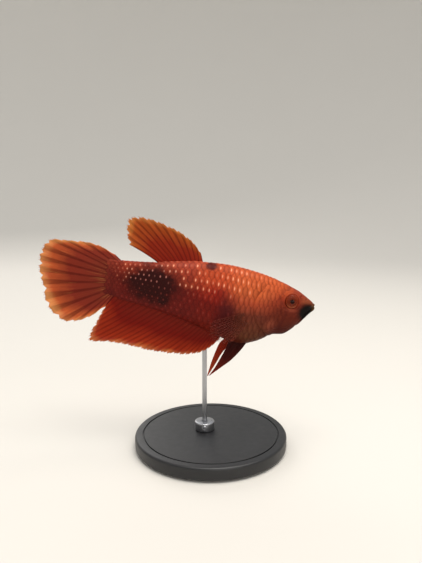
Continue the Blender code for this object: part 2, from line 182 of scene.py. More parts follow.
def bare_form(behind, angle, closed_tail=True):
    """Points of the body under its scales: angle 0 is the back, a quarter turn the right flank."""
    depth = (behind - COAT_DEPTH) / SNOUT_ROUNDING
    if closed_tail:
        depth = np.minimum(depth, (100 - COAT_DEPTH - behind) / TAIL_ROUNDING)
    rounding = np.sqrt(1 - (1 - np.clip(depth, 0, 1)) ** 2)
    level = smooth_values(WIDEST_LEVEL, behind)
    width = smooth_values(HALF_WIDTH, behind) * smooth_values(TAIL_TAPER, behind)
    width = (width - COAT_DEPTH) * rounding
    rise = (smooth_values(BACK_LINE, behind) - level - COAT_DEPTH) * rounding
    drop = (level - smooth_values(BELLY_LINE, behind) - COAT_DEPTH) * rounding
    upright = signed_power(np.cos(angle), 2 / SECTION_POWER)
    up = level + np.where(upright > 0, rise, drop) * upright
    side = -width * signed_power(np.sin(angle), 2 / SECTION_POWER)
    return np.stack((behind + 0 * angle, up, side), -1)


def outward_normals(points):
    """Unit normals of a grid of points: rings run along the body, sides run round it."""
    normals = np.cross(np.gradient(points, axis=0), np.gradient(points, axis=1))
    return normals / np.maximum(np.linalg.norm(normals, axis=-1, keepdims=True), 1e-9)


def ridge(distance, width):
    return np.exp(-((distance / width) ** 2))


def fold(distance, height, middle, width):
    """A ridge beside a line in the skin, or a groove where its height is below nought."""
    return height * ridge(distance - middle, width)


def fade(value, start, end):
    """Rises smoothly from 0 at start to 1 at end."""
    t = np.clip((value - start) / (end - start), 0, 1)
    return t * t * (3 - 2 * t)


def between(value, rise_start, rise_end, fall_start, fall_end):
    """Rises smoothly from 0 to 1 and falls smoothly back."""
    return fade(value, rise_start, rise_end) * (1 - fade(value, fall_start, fall_end))


def past_line(line, behind, up):
    """How far a point lies behind a line that runs down the head."""
    return behind - smooth_values([(level, place) for place, level in line], up)


def mouth_folds(behind, up):
    """The slit of the closed mouth, its two lips and the crease behind the jaw."""
    above = GAPE_SLANT * (up - smooth_values(GAPE_LINE, behind))
    folds = 0
    for height, level, width, start, end in MOUTH_FOLDS:
        folds = folds + fold(above, height, level, width) * (1 - fade(behind, start, end))
    past_jaw = past_line(JAW_REAR_LINE, behind, up)
    low = 1 - fade(up, -5.4, -3.8)
    jaw_crease = fold(past_jaw, *JAW_CREASE) * low * fade(up, -13, -9)
    return folds + jaw_crease + fold(past_jaw, *JAW_BONE) * low


def nostril_folds(behind, up):
    folds = 0
    for nostril_behind, nostril_up in NOSTRILS:
        away = np.hypot(behind - nostril_behind, up - nostril_up)
        folds = folds + fold(away, *NOSTRIL_RIM) + fold(away, *NOSTRIL_HOLE)
    return folds


def eye_folds(behind, up, side):
    """The pit that holds the eye, the soft ring round it and the brow over it."""
    away = np.hypot(behind - EYE_BEHIND, up - EYE_UP) / EYE_RADIUS
    on_flank = fade(np.abs(side), 1.5, 3.0)
    pit = -EYE_PIT_DEPTH * (1 - fade(away, 0.83, 1.0))
    brow = fold(away, *EYE_BROW) * fade(up - EYE_UP, 0.8, 3.0)
    cheek = fold(away, *EYE_CHEEK) * fade(EYE_UP - up, 0.5, 3.0)
    return on_flank * (pit + fold(away, *EYE_RING) + fold(away, *EYE_MOAT) + brow + cheek)


def gill_folds(behind, up, covered):
    """The preopercle's step, the free edge of the gill cover and the rays under the throat."""
    past_cheek = past_line(CHEEK_LINE, behind, up)
    cheek_step = fold(past_cheek, *CHEEK_SWELL) + fold(past_cheek, *CHEEK_GROOVE)
    cheek_step = cheek_step * between(up, -14, -11, 4.0, 6.5)
    past_gill = past_line(GILL_LINE, behind, up)
    past_edge = fade(past_gill, -0.15, 0.55)
    flap = fold(past_gill, *GILL_FLAP) * (1 - past_edge)
    hollow = -GILL_HOLLOW_DEPTH * np.exp(-np.maximum(past_gill, 0) / GILL_HOLLOW_LENGTH) * past_edge
    tucked = -GILL_TUCK * (1 - fade(past_gill, -0.6, 0.3))
    edge = (hollow + flap if covered else hollow + tucked) * between(up, -18.5, -16, 6.0, 9.0)
    above_belly = up - smooth_values(BELLY_LINE, behind)
    under_throat = fade(behind, 9, 12) * (1 - fade(past_gill, -2.5, -0.8))
    under_throat = under_throat * (1 - fade(above_belly, 3.8, 5.0))
    throat_rays = sum(ridge(above_belly - rise, THROAT_RAY_WIDTH) for rise in THROAT_RAY_LEVELS)
    return cheek_step + edge - THROAT_RAY_DEPTH * throat_rays * under_throat


def keel_folds(behind, up, side):
    """Low ridges of flesh that carry the back fin, the anal fin and the breast fins."""
    dorsal = between(behind, DORSAL_KEEL[0], DORSAL_KEEL[0] + 4, DORSAL_KEEL[1] - 4, DORSAL_KEEL[1])
    anal = between(behind, ANAL_KEEL[0], ANAL_KEEL[0] + 5, ANAL_KEEL[1] - 4, ANAL_KEEL[1])
    back_keel = fold(side, *BACK_KEEL) * dorsal * (up > 0)
    belly_keel = fold(side, *BELLY_KEEL) * anal * (up < 0)
    past_lobe = behind - PECTORAL_LOBE[0]
    over_lobe = up - PECTORAL_LOBE[1]
    lobe = np.hypot(past_lobe / 1.2, over_lobe / 2.5)
    pit = np.hypot((past_lobe - 3.2) / 2.2, over_lobe / 2.8)
    breast = (fold(lobe, *BREAST_LOBE) + fold(pit, *BREAST_PIT)) * (np.abs(side) > 3)
    return back_keel + belly_keel + breast


def flesh(behind, angle, covered=True, closed_tail=True):
    """A grid of points on the finished surface, with its outward normals."""
    points = bare_form(behind, angle, closed_tail)
    at, up, side = np.moveaxis(points, -1, 0)
    push = keel_folds(at, up, side) + gill_folds(at, up, covered)
    push = push + nostril_folds(at, up) + eye_folds(at, up, side) + mouth_folds(at, up)
    points = points + outward_normals(points) * push[..., None]
    return points, outward_normals(points)


def skin_stations():
    """Where the rings lie: close together on the head, wider apart on the trunk."""
    quarter = np.linspace(0, math.pi / 2, SNOUT_RINGS)
    snout = COAT_DEPTH + SNOUT_ROUNDING * (1 - np.cos(quarter))
    head = np.arange(snout[-1] + HEAD_STEP, HEAD_END, HEAD_STEP)
    trunk = np.arange(HEAD_END, TAIL_START, TRUNK_STEP)
    tail = np.arange(TAIL_START, 100 - TAIL_ROUNDING, TAIL_STEP)
    last = 100 - COAT_DEPTH - TAIL_ROUNDING * (1 - np.sin(quarter))
    return np.concatenate((snout, head, trunk, tail, last))


def grid_faces(rows, columns, closed):
    """Quads between the points of a grid, whose columns may join up into rings."""
    steps = np.arange(columns if closed else columns - 1)
    row, column = np.meshgrid(np.arange(rows - 1), steps, indexing="ij")
    here = row * columns + column
    beside = row * columns + (column + 1) % columns
    return np.stack((here, beside, beside + columns, here + columns), -1).reshape(-1, 4)


def closed_tube_faces(rings, sides):
    """Quads between rings of points, and fans that close both ends on the two last points."""
    count = rings * sides
    faces = grid_faces(rings, sides, True)[:, ::-1].tolist()
    for k in range(sides):
        after = (k + 1) % sides
        faces.append([count, k, after])
        faces.append([count + 1, count - sides + after, count - sides + k])
    return faces


def shown(name, data):
    """Puts an object with the given data in the scene."""
    thing = bpy.data.objects.new(name, data)
    bpy.context.scene.collection.objects.link(thing)
    return thing


def new_piece(name, points, faces, material):
    """Makes a smooth-shaded mesh object of points in metres."""
    mesh = bpy.data.meshes.new(name)
    mesh.from_pydata(np.asarray(points).reshape(-1, 3).tolist(), [], [list(face) for face in faces])
    mesh.shade_smooth()
    mesh.materials.append(material)
    return shown(name, mesh)


def settle(piece, slot, *stands_for):
    """Lets a finished piece ride on the model's one body and hides the frame's nodes it stands for; the slot
    is not used.
    """
    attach(piece, "root")
    if stands_for:
        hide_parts(*stands_for)


def skin_mesh(material):
    turns = np.linspace(0, 2 * math.pi, SKIN_SIDES, endpoint=False)
    wide_turns = np.concatenate((turns[-2:] - 2 * math.pi, turns, turns[:2] + 2 * math.pi))
    behind, angle = np.meshgrid(skin_stations(), wide_turns, indexing="ij")
    points = flesh(behind, angle)[0][:, 2:-2]
    rings = points[1:-1]
    poles = np.stack((points[0].mean(0), points[-1].mean(0)))
    vertices = np.concatenate((rings.reshape(-1, 3), poles))
    return new_piece("skin", in_frame(vertices), closed_tube_faces(len(rings), SKIN_SIDES), material)


def fill(made, inputs):
    """Links or sets the inputs of a node, by name or number."""
    for socket, value in inputs.items():
        if isinstance(value, bpy.types.NodeSocket):
            made.id_data.links.new(value, made.inputs[socket])
        else:
            made.inputs[socket].default_value = value
    return made


def add_node(tree, kind, inputs=None, **settings):
    """Adds a node with its settings and its inputs."""
    made = tree.nodes.new(kind)
    for name, value in settings.items():
        setattr(made, name, value)
    return fill(made, inputs or {})


def maths(operation, first, second=0.0, clamped=False):
    """One step of sums on two numbers, of which one at least is a socket, in that socket's tree."""
    tree = (first if isinstance(first, bpy.types.NodeSocket) else second).id_data
    made = add_node(tree, "ShaderNodeMath", {0: first, 1: second}, operation=operation, use_clamp=clamped)
    return made.outputs[0]


def times(first, second):
    return maths("MULTIPLY", first, second)


def plus(first, second):
    return maths("ADD", first, second)


def minus(first, second):
    return maths("SUBTRACT", first, second)


def larger(first, second):
    return maths("MAXIMUM", first, second)


def swayed(noise, width):
    """Noise round a half, turned into a swing round nought."""
    return times(minus(noise, 0.5), width)


def vector_maths(operation, first, second):
    made = add_node(first.id_data, "ShaderNodeVectorMath", {0: first, 1: second}, operation=operation)
    return made.outputs[0]


def stretched(vector, *factors):
    """A vector with its three axes drawn out or pressed together."""
    return vector_maths("MULTIPLY", vector, factors)


def length_of(vector):
    return add_node(vector.id_data, "ShaderNodeVectorMath", {0: vector}, operation="LENGTH").outputs["Value"]


def axes_of(vector):
    """The X, Y and Z of a vector."""
    return add_node(vector.id_data, "ShaderNodeSeparateXYZ", {0: vector}).outputs


def eased(value, start, end):
    """A socket that rises smoothly from 0 to 1 as the value goes from start to end."""
    ranges = {"Value": value, "From Min": start, "From Max": end}
    return add_node(value.id_data, "ShaderNodeMapRange", ranges, interpolation_type="SMOOTHSTEP").outputs[0]


def painted(share, under, over):
    """The colour under, with the colour over laid on it by a share from 0 to 1."""
    inputs = {0: share, 6: under, 7: over}
    return add_node(share.id_data, "ShaderNodeMix", inputs, data_type="RGBA").outputs[2]


def paint(red, green, blue):
    """A linear colour from the 0 to 255 values of a paint chart."""
    shares = (red / 255, green / 255, blue / 255)
    return tuple(s / 12.92 if s <= 0.04045 else ((s + 0.055) / 1.055) ** 2.4 for s in shares) + (1.0,)


def graded(value, stops):
    """A colour ramp over a value from 0 to 1, from (place, colour) stops."""
    made = add_node(value.id_data, "ShaderNodeValToRGB", {"Fac": value})
    elements = made.color_ramp.elements
    for place, colour in stops[1:-1]:
        elements.new(place).color = colour
    elements[0].position, elements[0].color = stops[0]
    elements[-1].position, elements[-1].color = stops[-1]
    return made.outputs["Color"]


def object_place(tree):
    return add_node(tree, "ShaderNodeTexCoord").outputs["Object"]


def grain(place, scale, detail=3.0, roughness=0.55):
    """Noise of a given count of lumps in one unit of the place."""
    settings = {"Vector": place, "Scale": scale, "Detail": detail, "Roughness": roughness}
    return add_node(place.id_data, "ShaderNodeTexNoise", settings).outputs["Fac"]


def patch(place, centre, radii, softness, ragged):
    """A soft-edged oval patch: centre is (behind, up), and radii are (along, side, up)."""
    middle = (-centre[0], 0.0, centre[1])
    away = length_of(vector_maths("DIVIDE", vector_maths("SUBTRACT", place, middle), radii))
    return eased(plus(away, ragged), 1 + softness, 1 - softness)


# Each zone's paint from the belly up to the back: (level above the snout, red, green, blue).
# The dark lower flanks and the lighter back are partly the fish's own colour and partly painted
# shade below and painted light on top, as from the lamp above.
FACE_PAINT = ((-18, 60, 24, 13), (-5, 90, 30, 17), (0, 115, 39, 22), (12, 148, 61, 37))
HEAD_PAINT = ((-18, 60, 26, 14), (-3, 99, 35, 20), (2, 134, 46, 25), (8, 182, 79, 40), (12, 190, 88, 43))
SHOULDER_PAINT = (
    (-18, 90, 50, 30), (-7, 103, 46, 31), (-1, 160, 66, 39), (4, 191, 88, 46), (15, 186, 82, 43),
)
FLANK_PAINT = (
    (-16, 107, 28, 18), (-4, 112, 23, 15), (2, 144, 34, 20), (7, 178, 65, 34), (14, 180, 73, 37),
)
TAIL_PAINT = ((-16, 102, 26, 20), (1, 96, 23, 18), (7, 140, 48, 32), (12, 158, 62, 42))
FIN_ROOT_PAINT = ((-16, 96, 27, 20), (3, 100, 30, 23), (10, 128, 46, 32))
PAINT_LOW = -24.0
PAINT_HIGH = 18.0
# Where each zone's paint takes over from the one before it, behind the snout.
ZONES = (
    (10, 16, HEAD_PAINT), (17, 28, SHOULDER_PAINT), (35, 48, FLANK_PAINT), (50, 65, TAIL_PAINT),
    (92, 100, FIN_ROOT_PAINT),
)
MOTTLE_LIGHT = paint(208, 100, 60)
MOTTLE_DARK = paint(66, 16, 12)
WHOLE_WIDTH = 60
# The markings, in the order of painting: name, paint, raggedness, and their soft oval patches as
# (behind, up), (half length, half width, half height), softness and share of the paint.
MARKINGS = (
    # A painted highlight along the lower rim of the eye's pit, and a pale pink patch low on the gill cover.
    ("eye_rim_highlight_and_gill_pink", paint(186, 92, 66), 0.0, (
        ((12.4, -2.1), (2.6, WHOLE_WIDTH, 0.7), 0.6, 0.30),
        ((20.8, -11.0), (2.4, WHOLE_WIDTH, 3.0), 0.7, 0.30),
    )),
    # Painted shade: a dark band in the hollow behind the pectoral fin's root, where the fin shades the
    # flank.
    ("band", paint(66, 17, 20), 1.0, (((43.0, -11.3), (4.8, WHOLE_WIDTH, 10.4), 0.5, 0.82),)),
    # Painted shade under the gill covers and at the root of the pelvic fins.
    ("throat_and_breast_shade", MOTTLE_DARK, 0.0, (
        ((16.5, -14.5), (5.0, WHOLE_WIDTH, 3.6), 0.6, 0.7),
        ((37.0, -22.0), (4.6, WHOLE_WIDTH, 3.4), 0.6, 0.7),
    )),
    ("blotch", paint(44, 12, 10), 1.0, (
        ((79.4, 1.2), (12.4, WHOLE_WIDTH, 8.8), 0.38, 1.0),
        ((73.5, -5.4), (3.6, WHOLE_WIDTH, 4.0), 0.6, 1.0),
    )),
    ("tail_spot", paint(84, 20, 18), 0.0, (((99.6, -6.3), (2.2, WHOLE_WIDTH, 2.4), 0.4, 0.7),)),
    ("back_spot", paint(84, 14, 8), 0.0, (((52.6, 13.2), (2.9, 8, 1.9), 0.25, 1.0),)),
    ("snout_tan", paint(144, 84, 52), 0.0, (((4.2, 2.6), (3.4, WHOLE_WIDTH, 1.7), 0.6, 0.35),)),
    ("muzzle", paint(14, 9, 7), 0.4, (((3.6, -2.8), (5.1, WHOLE_WIDTH, 4.6), 0.36, 1.0),)),
    ("lip_olive", paint(84, 58, 30), 0.0, (((0.3, -0.2), (1.7, WHOLE_WIDTH, 2.4), 0.6, 0.75),)),
)


def mixed_stops(chart, low=0.0, high=1.0):
    """Ramp stops from a paint chart's (place, red, green, blue) lines."""
    return [((place - low) / (high - low), paint(*mix)) for place, *mix in chart]


def fish_place(tree):
    """Object coordinates as (ahead, left, up) of the snout, in percent of the length."""
    settings = {
        "Vector": object_place(tree),
        "Location": tuple(SNOUT),
        "Rotation": (0, NOSE_DOWN, 0),
        "Scale": (PERCENT, PERCENT, PERCENT),
    }
    return add_node(tree, "ShaderNodeMapping", settings, vector_type="TEXTURE").outputs[0]


def marking_share(place, ragged, raggedness, patches):
    """How much of a marking's paint lies at each place: the most that any of its patches gives."""
    share = None
    for centre, radii, softness, strength in patches:
        laid = times(patch(place, centre, radii, softness, times(ragged, raggedness)), strength)
        share = laid if share is None else larger(share, laid)
    return share


def make_fish_paint():
    """The markings that skin, scales and fin roots all share, with painted shade and highlights, as one node
    group.
    """
    tree = bpy.data.node_groups.new("fish_paint", "ShaderNodeTree")
    for name, kind in (("Colour", "Color"), ("Dark", "Float"), ("Place", "Vector")):
        tree.interface.new_socket(name, in_out="OUTPUT", socket_type="NodeSocket" + kind)
    place = fish_place(tree)
    axes = axes_of(place)
    behind = times(axes["X"], -1)
    ragged = swayed(grain(place, 0.34), 0.9)
    waved_up = plus(axes["Z"], swayed(grain(place, 0.16), 5.0))
    ranges = {"Value": waved_up, "From Min": PAINT_LOW, "From Max": PAINT_HIGH}
    level = add_node(tree, "ShaderNodeMapRange", ranges).outputs[0]
    colour = graded(level, mixed_stops(FACE_PAINT, PAINT_LOW, PAINT_HIGH))
    for start, end, chart in ZONES:
        zone = graded(level, mixed_stops(chart, PAINT_LOW, PAINT_HIGH))
        colour = painted(eased(behind, start, end), colour, zone)

    fine = grain(place, 1.1, detail=4.0)
    lit = plus(times(eased(axes["Z"], -9.0, 3.0), 0.13), 0.03)
    colour = painted(times(eased(fine, 0.5, 0.8), lit), colour, MOTTLE_LIGHT)
    colour = painted(times(eased(fine, 0.5, 0.22), 0.38), colour, MOTTLE_DARK)

    shares = {}
    for name, mix, raggedness, patches in MARKINGS:
        shares[name] = marking_share(place, ragged, raggedness, patches)
        colour = painted(shares[name], colour, mix)
    # Dark: the dark markings, with part of the painted shade behind the pectoral fin.
    dark = larger(shares["blotch"], larger(shares["muzzle"], times(shares["band"], 0.6)))
    add_node(tree, "NodeGroupOutput", {"Colour": colour, "Dark": dark, "Place": place})
    return tree


FISH_PAINT = make_fish_paint()
# Seen straight on, varnish and wet horn throw back little of the light.
DULL = {"Specular IOR Level": 0.06}


def new_material(name):
    """A named material, its node tree, and its shader, joined to the output."""
    material = bpy.data.materials.new(name)
    material.use_nodes = True
    tree = material.node_tree
    tree.nodes.clear()
    shader = add_node(tree, "ShaderNodeBsdfPrincipled")
    add_node(tree, "ShaderNodeOutputMaterial", {"Surface": shader.outputs[0]})
    return material, tree, shader


def finish(shader, colour, roughness, relief, depth, constants):
    """Gives a shader its colour, roughness, fine relief of a depth in metres, and constants."""
    settings = {"Height": relief, "Distance": depth, "Strength": 1.0}
    bumps = add_node(shader.id_data, "ShaderNodeBump", settings).outputs[0]
    fill(shader, {"Base Color": colour, "Roughness": roughness, "Normal": bumps, **constants})


def rough(noise, rise, base):
    """Roughness that rises from its base with the noise."""
    return plus(times(noise, rise), base)


def make_skin_material():
    """Painted skin under a thin varnish: fine pores and a few dark freckles."""
    material, tree, shader = new_material("varnished_skin")
    markings = add_node(tree, "ShaderNodeGroup", node_tree=FISH_PAINT).outputs
    pores = grain(markings["Place"], 4.5, detail=2.0)
    cells = add_node(tree, "ShaderNodeTexVoronoi", {"Vector": markings["Place"], "Scale": 2.6})
    freckles = cells.outputs["Distance"]
    colour = painted(times(eased(freckles, 0.26, 0.05), 0.35), markings["Colour"], MOTTLE_DARK)
    varnish = {"Coat Weight": 0.02, "Coat Roughness": 0.15, **DULL}
    finish(shader, colour, rough(pores, 0.22, 0.30), plus(pores, times(freckles, 0.6)), 0.00003, varnish)
    return material


FLESH_NODES = ("head", "lower_jaw", "gill_cover_left", "gill_cover_right", "trunk", "tail_stalk")
skin = skin_mesh(make_skin_material())
settle(skin, "scaled_skin", *FLESH_NODES)


# ---------------------------------------------------------------------------------------------
# Scales: thin horny plates laid like roof tiles, each one's free edge over the next one behind.
# Ten rows run along each flank from the gill opening to the tail, with small flat ones on the
# head. Each is a moulded plate set on the skin, with a painted glint, a pale highlight, on the
# rows along the back, and painted shade where the plate ahead overlaps it.
# ---------------------------------------------------------------------------------------------

# Distance from one scale to the next in a row, in percent of the length, by place behind.
SCALE_PITCH = ((10, 1.75), (22, 2.0), (32, 2.42), (44, 2.55), (56, 2.8), (76, 2.75), (90, 2.3), (106, 1.9))
FIRST_COLUMN_AT = 4
PITCH_SAMPLES = 400
ROWS_ON_FLANK = 10
FLANK_START = 21.0
FLANK_END = 101.0
HEAD_SCALES_START = 11.0
HEAD_SCALES_END = 29.0
HEAD_LIFT = 0.42
GILL_TOP = 8.5
OVER_BACK = math.radians(62)
GUIDE_SIDES = 190
GUIDE_STEP = 0.4
GUIDE_MARGIN = 5
LATTICE_COLUMNS = 64
LATTICE_ROWS = 16
LATTICE_MARGIN = 2.0
UNWRAP_LENGTH = 108
UNWRAP_START = (0.01, 0.02)
UNWRAP_HEIGHT = 0.96
SCALE_FRONT = -1.35
SCALE_REAR = 0.80
SCALE_SHOULDER = -0.45
SCALE_HALF_HEIGHT = 0.82
SCALE_NARROWING = 0.35
SCALE_CROWDING = 0.85
SCALE_LIFT_FRONT = -0.10
SCALE_LIFT_REAR = 0.30
SCALE_THICKNESS = 0.075
SCALE_DOME = 0.07
SCALE_LENGTHWISE = 4
SCALE_CROSSWISE = 8
SIZE_SPREAD = 0.06
CRISP_EDGE = math.radians(50)
BAKE_PATCH = 0.003
HIDDEN_SHARE = 0.25
SPOT_MIDDLE = (0.34, 0, 0)
SPOT_NARROWING = (7.2, 4.3, 0)
LOBE_BARE_SIZE = (1.5, 2.4)
GILL_BARE_WIDTH = 0.4
MARGIN_BARE_WIDTH = 1.9
EYE_BARE_RADII = 1.75
SNOUT_BARE_TO = 12.5
SNOUT_BARE_SLANT = 0.35
SNOUT_BARE_LEVEL = 4
THROAT_BARE_HEIGHT = 4.5
HEAD_OVERLAP = 0.6
HEAD_GUIDE_PAST = 14
GROWTH_RINGS = 46.0
# Colours of the painted glints on the scales: pale highlights, greyer within the dark markings.
GLINT_PALE = paint(238, 164, 128)
GLINT_LAVENDER = paint(176, 108, 98)
# Dark pigment of each scale's rear edge, also used for painted shade under the scale ahead.
SCALE_RIM_AND_SHADE = paint(70, 16, 12)
GLINT_ROSE = paint(168, 68, 58)


def column_of(behind):
    """How many scales lie between a place and the start of the rows."""
    stations = np.linspace(FIRST_COLUMN_AT, SCALE_PITCH[-1][0], PITCH_SAMPLES)
    each = np.diff(stations) / smooth_values(SCALE_PITCH, (stations[1:] + stations[:-1]) / 2)
    return np.interp(behind, stations, np.concatenate(((0,), np.cumsum(each))))


def row_of(points, angle):
    """Rows from the middle of the back, as shares of the way round to the belly."""
    steps = np.linalg.norm(np.diff(points, axis=1), axis=-1)
    reach = np.concatenate((np.zeros((len(points), 1)), np.cumsum(steps, axis=1)), axis=1)
    back = np.array([np.interp(0, angle[0], ring) for ring in reach])
    belly = np.array([np.interp(math.pi, angle[0], ring) for ring in reach])
    return ROWS_ON_FLANK * (reach - back[:, None]) / (belly - back)[:, None]


def bare_share(behind, up, on_head):
    """1 where no scale has its root, and 0 where scales lie."""
    past_gill = past_line(GILL_LINE, behind, up)
    if not on_head:
        long, high = LOBE_BARE_SIZE
        lobe = np.hypot((behind - PECTORAL_LOBE[0]) / long, (up - PECTORAL_LOBE[1]) / high)
        in_front = (past_gill < -GILL_BARE_WIDTH) & (up < GILL_TOP)
        return (in_front | (lobe < 1)).astype(float)
    beside_eye = np.hypot(behind - EYE_BEHIND, up - EYE_UP) / EYE_RADIUS < EYE_BARE_RADII
    on_snout = behind < SNOUT_BARE_TO + SNOUT_BARE_SLANT * np.abs(up - SNOUT_BARE_LEVEL)
    at_margin = (past_gill > -MARGIN_BARE_WIDTH) & (up < GILL_TOP)
    under_throat = up - smooth_values(BELLY_LINE, behind) < THROAT_BARE_HEIGHT
    past_nape = (behind > FLANK_START + HEAD_OVERLAP) & (up >= GILL_TOP)
    return (on_snout | at_margin | beside_eye | under_throat | past_nape).astype(float)


def store(mesh, name, values):
    """Keeps a number or a vector at each point of a mesh."""
    many = values.ndim > 1
    made = mesh.attributes.new(name, "FLOAT_VECTOR" if many else "FLOAT", "POINT")
    made.data.foreach_set("vector" if many else "value", values.ravel())


def scale_guide(name, flank, on_head):
    """A sheet on the skin that carries the scale lattice, the outward direction and the bake map."""
    start = (HEAD_SCALES_START if on_head else FLANK_START) - GUIDE_MARGIN
    end = FLANK_START + HEAD_GUIDE_PAST if on_head else FLANK_END + GUIDE_MARGIN
    turns = np.linspace(-OVER_BACK, math.pi + OVER_BACK, GUIDE_SIDES)
    behind, angle = np.meshgrid(np.arange(start, end, GUIDE_STEP), turns, indexing="ij")
    points, normals = flesh(behind, angle, covered=on_head, closed_tail=False)
    column = column_of(points[..., 0])
    row = row_of(bare_form(behind, angle, closed_tail=False), angle)
    bare = bare_share(points[..., 0], points[..., 1], on_head).ravel()
    points[..., 2] *= flank
    normals[..., 2] *= flank
    faces = grid_faces(*behind.shape, False)
    mesh = bpy.data.meshes.new(name)
    mesh.from_pydata(in_frame(points).reshape(-1, 3).tolist(), [], faces.tolist())
    outward = normals[..., :1] * BACKWARD + normals[..., 1:2] * UPWARD + normals[..., 2:] * LEFTWARD
    store(mesh, "outward", outward.reshape(-1, 3))
    store(mesh, "bare", bare)
    store(mesh, "lift", np.full(bare.shape, HEAD_LIFT if on_head else 1.0))
    lattice = np.stack((column / LATTICE_COLUMNS, (row + LATTICE_MARGIN) / LATTICE_ROWS), -1)
    turned = (angle + OVER_BACK) / (math.pi + 2 * OVER_BACK)
    unwrap = np.stack((points[..., 0] / UNWRAP_LENGTH, turned * UNWRAP_HEIGHT), -1) + UNWRAP_START
    for uv_name, flat in (("lattice", lattice), ("unwrap", unwrap)):
        corners = flat.reshape(-1, 2)[faces.ravel()]
        mesh.uv_layers.new(name=uv_name).data.foreach_set("uv", corners.ravel())
    return shown(name, mesh)


def scale_roots(name, start, end, rows):
    """A point in the lattice for each scale: neighbouring rows are half a scale apart."""
    points = []
    for row in rows:
        for column in range(int(column_of(start)), int(column_of(end)) + 1):
            across = (column + 0.5 * (row % 2)) / LATTICE_COLUMNS
            points.append((across, (row + LATTICE_MARGIN) / LATTICE_ROWS, 0))
    mesh = bpy.data.meshes.new(name)
    mesh.from_pydata(points, [], [])
    return bpy.data.objects.new(name, mesh)


def closed_sheet_faces(rows, columns):
    """Quads of two equal grids of points, one over the other, and of the walls between them."""
    count = rows * columns
    upper = grid_faces(rows, columns, False)
    grid = np.arange(count).reshape(rows, columns)
    rim = np.concatenate((grid[0, :], grid[1:, -1], grid[-1, -2::-1], grid[-2:0:-1, 0]))
    after = np.roll(rim, -1)
    walls = np.stack((rim, rim + count, after + count, after), -1)
    return np.concatenate((upper[:, ::-1], upper + count, walls[:, ::-1]))


def scale_template():
    """One scale in the flat, in lattice steps: straight in front, rounded behind, closed below."""
    across = np.linspace(-1, 1, SCALE_CROSSWISE + 1)
    share = np.linspace(0, 1, SCALE_LENGTHWISE + 1) ** SCALE_CROWDING
    share, across = np.meshgrid(share, across, indexing="ij")
    rear = SCALE_SHOULDER + (SCALE_REAR - SCALE_SHOULDER) * np.sqrt(np.clip(1 - across**2, 0, 1))
    x = SCALE_FRONT + (rear - SCALE_FRONT) * share
    y = across * SCALE_HALF_HEIGHT * (1 - SCALE_NARROWING * (1 - share) ** 2)
    slope = (x - SCALE_FRONT) / (SCALE_REAR - SCALE_FRONT)
    lift = SCALE_LIFT_FRONT + (SCALE_LIFT_REAR - SCALE_LIFT_FRONT) * slope + SCALE_DOME * (1 - across**2)
    top = np.stack((x, y, lift), -1).reshape(-1, 3)
    points = np.concatenate((top, top - (0, 0, SCALE_THICKNESS)))
    flat = points / (LATTICE_COLUMNS, LATTICE_ROWS, 1)
    template = new_piece("scale_template", flat, closed_sheet_faces(*share.shape), SCALE_MATERIAL)
    store(template.data, "leaf", points)
    return template


def named_value(tree, name, data_type="FLOAT_VECTOR"):
    return add_node(tree, "GeometryNodeInputNamedAttribute", {"Name": name}, data_type=data_type).outputs[0]


def sampled(tree, guide, value, place, data_type="FLOAT_VECTOR"):
    """Reads a value of the guide at a place of its lattice, and whether the place is on it."""
    lattice = named_value(tree, "lattice")
    links = {"Mesh": guide, "Value": value, "Source UV Map": lattice, "Sample UV": place}
    return add_node(tree, "GeometryNodeSampleUVSurface", links, data_type=data_type).outputs


def stored(tree, geometry, name, value, data_type, domain="POINT"):
    settings = {"Geometry": geometry, "Name": name, "Value": value}
    made = add_node(tree, "GeometryNodeStoreNamedAttribute", settings, data_type=data_type, domain=domain)
    return made.outputs[0]


def with_sockets(name, inputs, output):
    """A new geometry tree with its inputs and its one output, and the sockets that it is given."""
    tree = bpy.data.node_groups.new(name, "GeometryNodeTree")
    for socket, kind in inputs:
        tree.interface.new_socket(socket, in_out="INPUT", socket_type="NodeSocket" + kind)
    tree.interface.new_socket(output, in_out="OUTPUT", socket_type="NodeSocketGeometry")
    return tree, add_node(tree, "NodeGroupInput").outputs


def scaled(vector, factor):
    made = add_node(vector.id_data, "ShaderNodeVectorMath", {0: vector, "Scale": factor}, operation="SCALE")
    return made.outputs[0]


def logic(operation, first, second=False):
    made = add_node(first.id_data, "FunctionNodeBooleanMath", {0: first, 1: second}, operation=operation)
    return made.outputs[0]


def set_out(tree, guide, template, given):
    """Plates on every root that lies on the guide and not in a bare place, still in the flat."""
    place = add_node(tree, "GeometryNodeInputPosition").outputs[0]
    unwrap = sampled(tree, guide, named_value(tree, "unwrap"), place)[0]
    bare = sampled(tree, guide, named_value(tree, "bare", "FLOAT"), place, "FLOAT")
    over_half = add_node(tree, "FunctionNodeCompare", {0: bare[0], 1: 0.5}, operation="GREATER_THAN")
    dropped = logic("OR", logic("NOT", bare["Is Valid"]), over_half.outputs[0])
    cut = {"Geometry": given["Roots"], "Selection": dropped}
    kept = add_node(tree, "GeometryNodeDeleteGeometry", cut).outputs[0]
    kept = stored(tree, kept, "root", unwrap, "FLOAT_VECTOR")
    draw = add_node(tree, "FunctionNodeRandomValue", {"Seed": given["Seed"]}, data_type="FLOAT")
    chance = draw.outputs[1]
    kept = stored(tree, kept, "chance", chance, "FLOAT")
    size = plus(times(given["Size spread"], minus(chance, 0.5)), 1.0)
    points = {"Points": kept, "Instance": template, "Scale": size}
    plates = add_node(tree, "GeometryNodeInstanceOnPoints", points).outputs[0]
    return add_node(tree, "GeometryNodeRealizeInstances", {0: plates}).outputs[0]


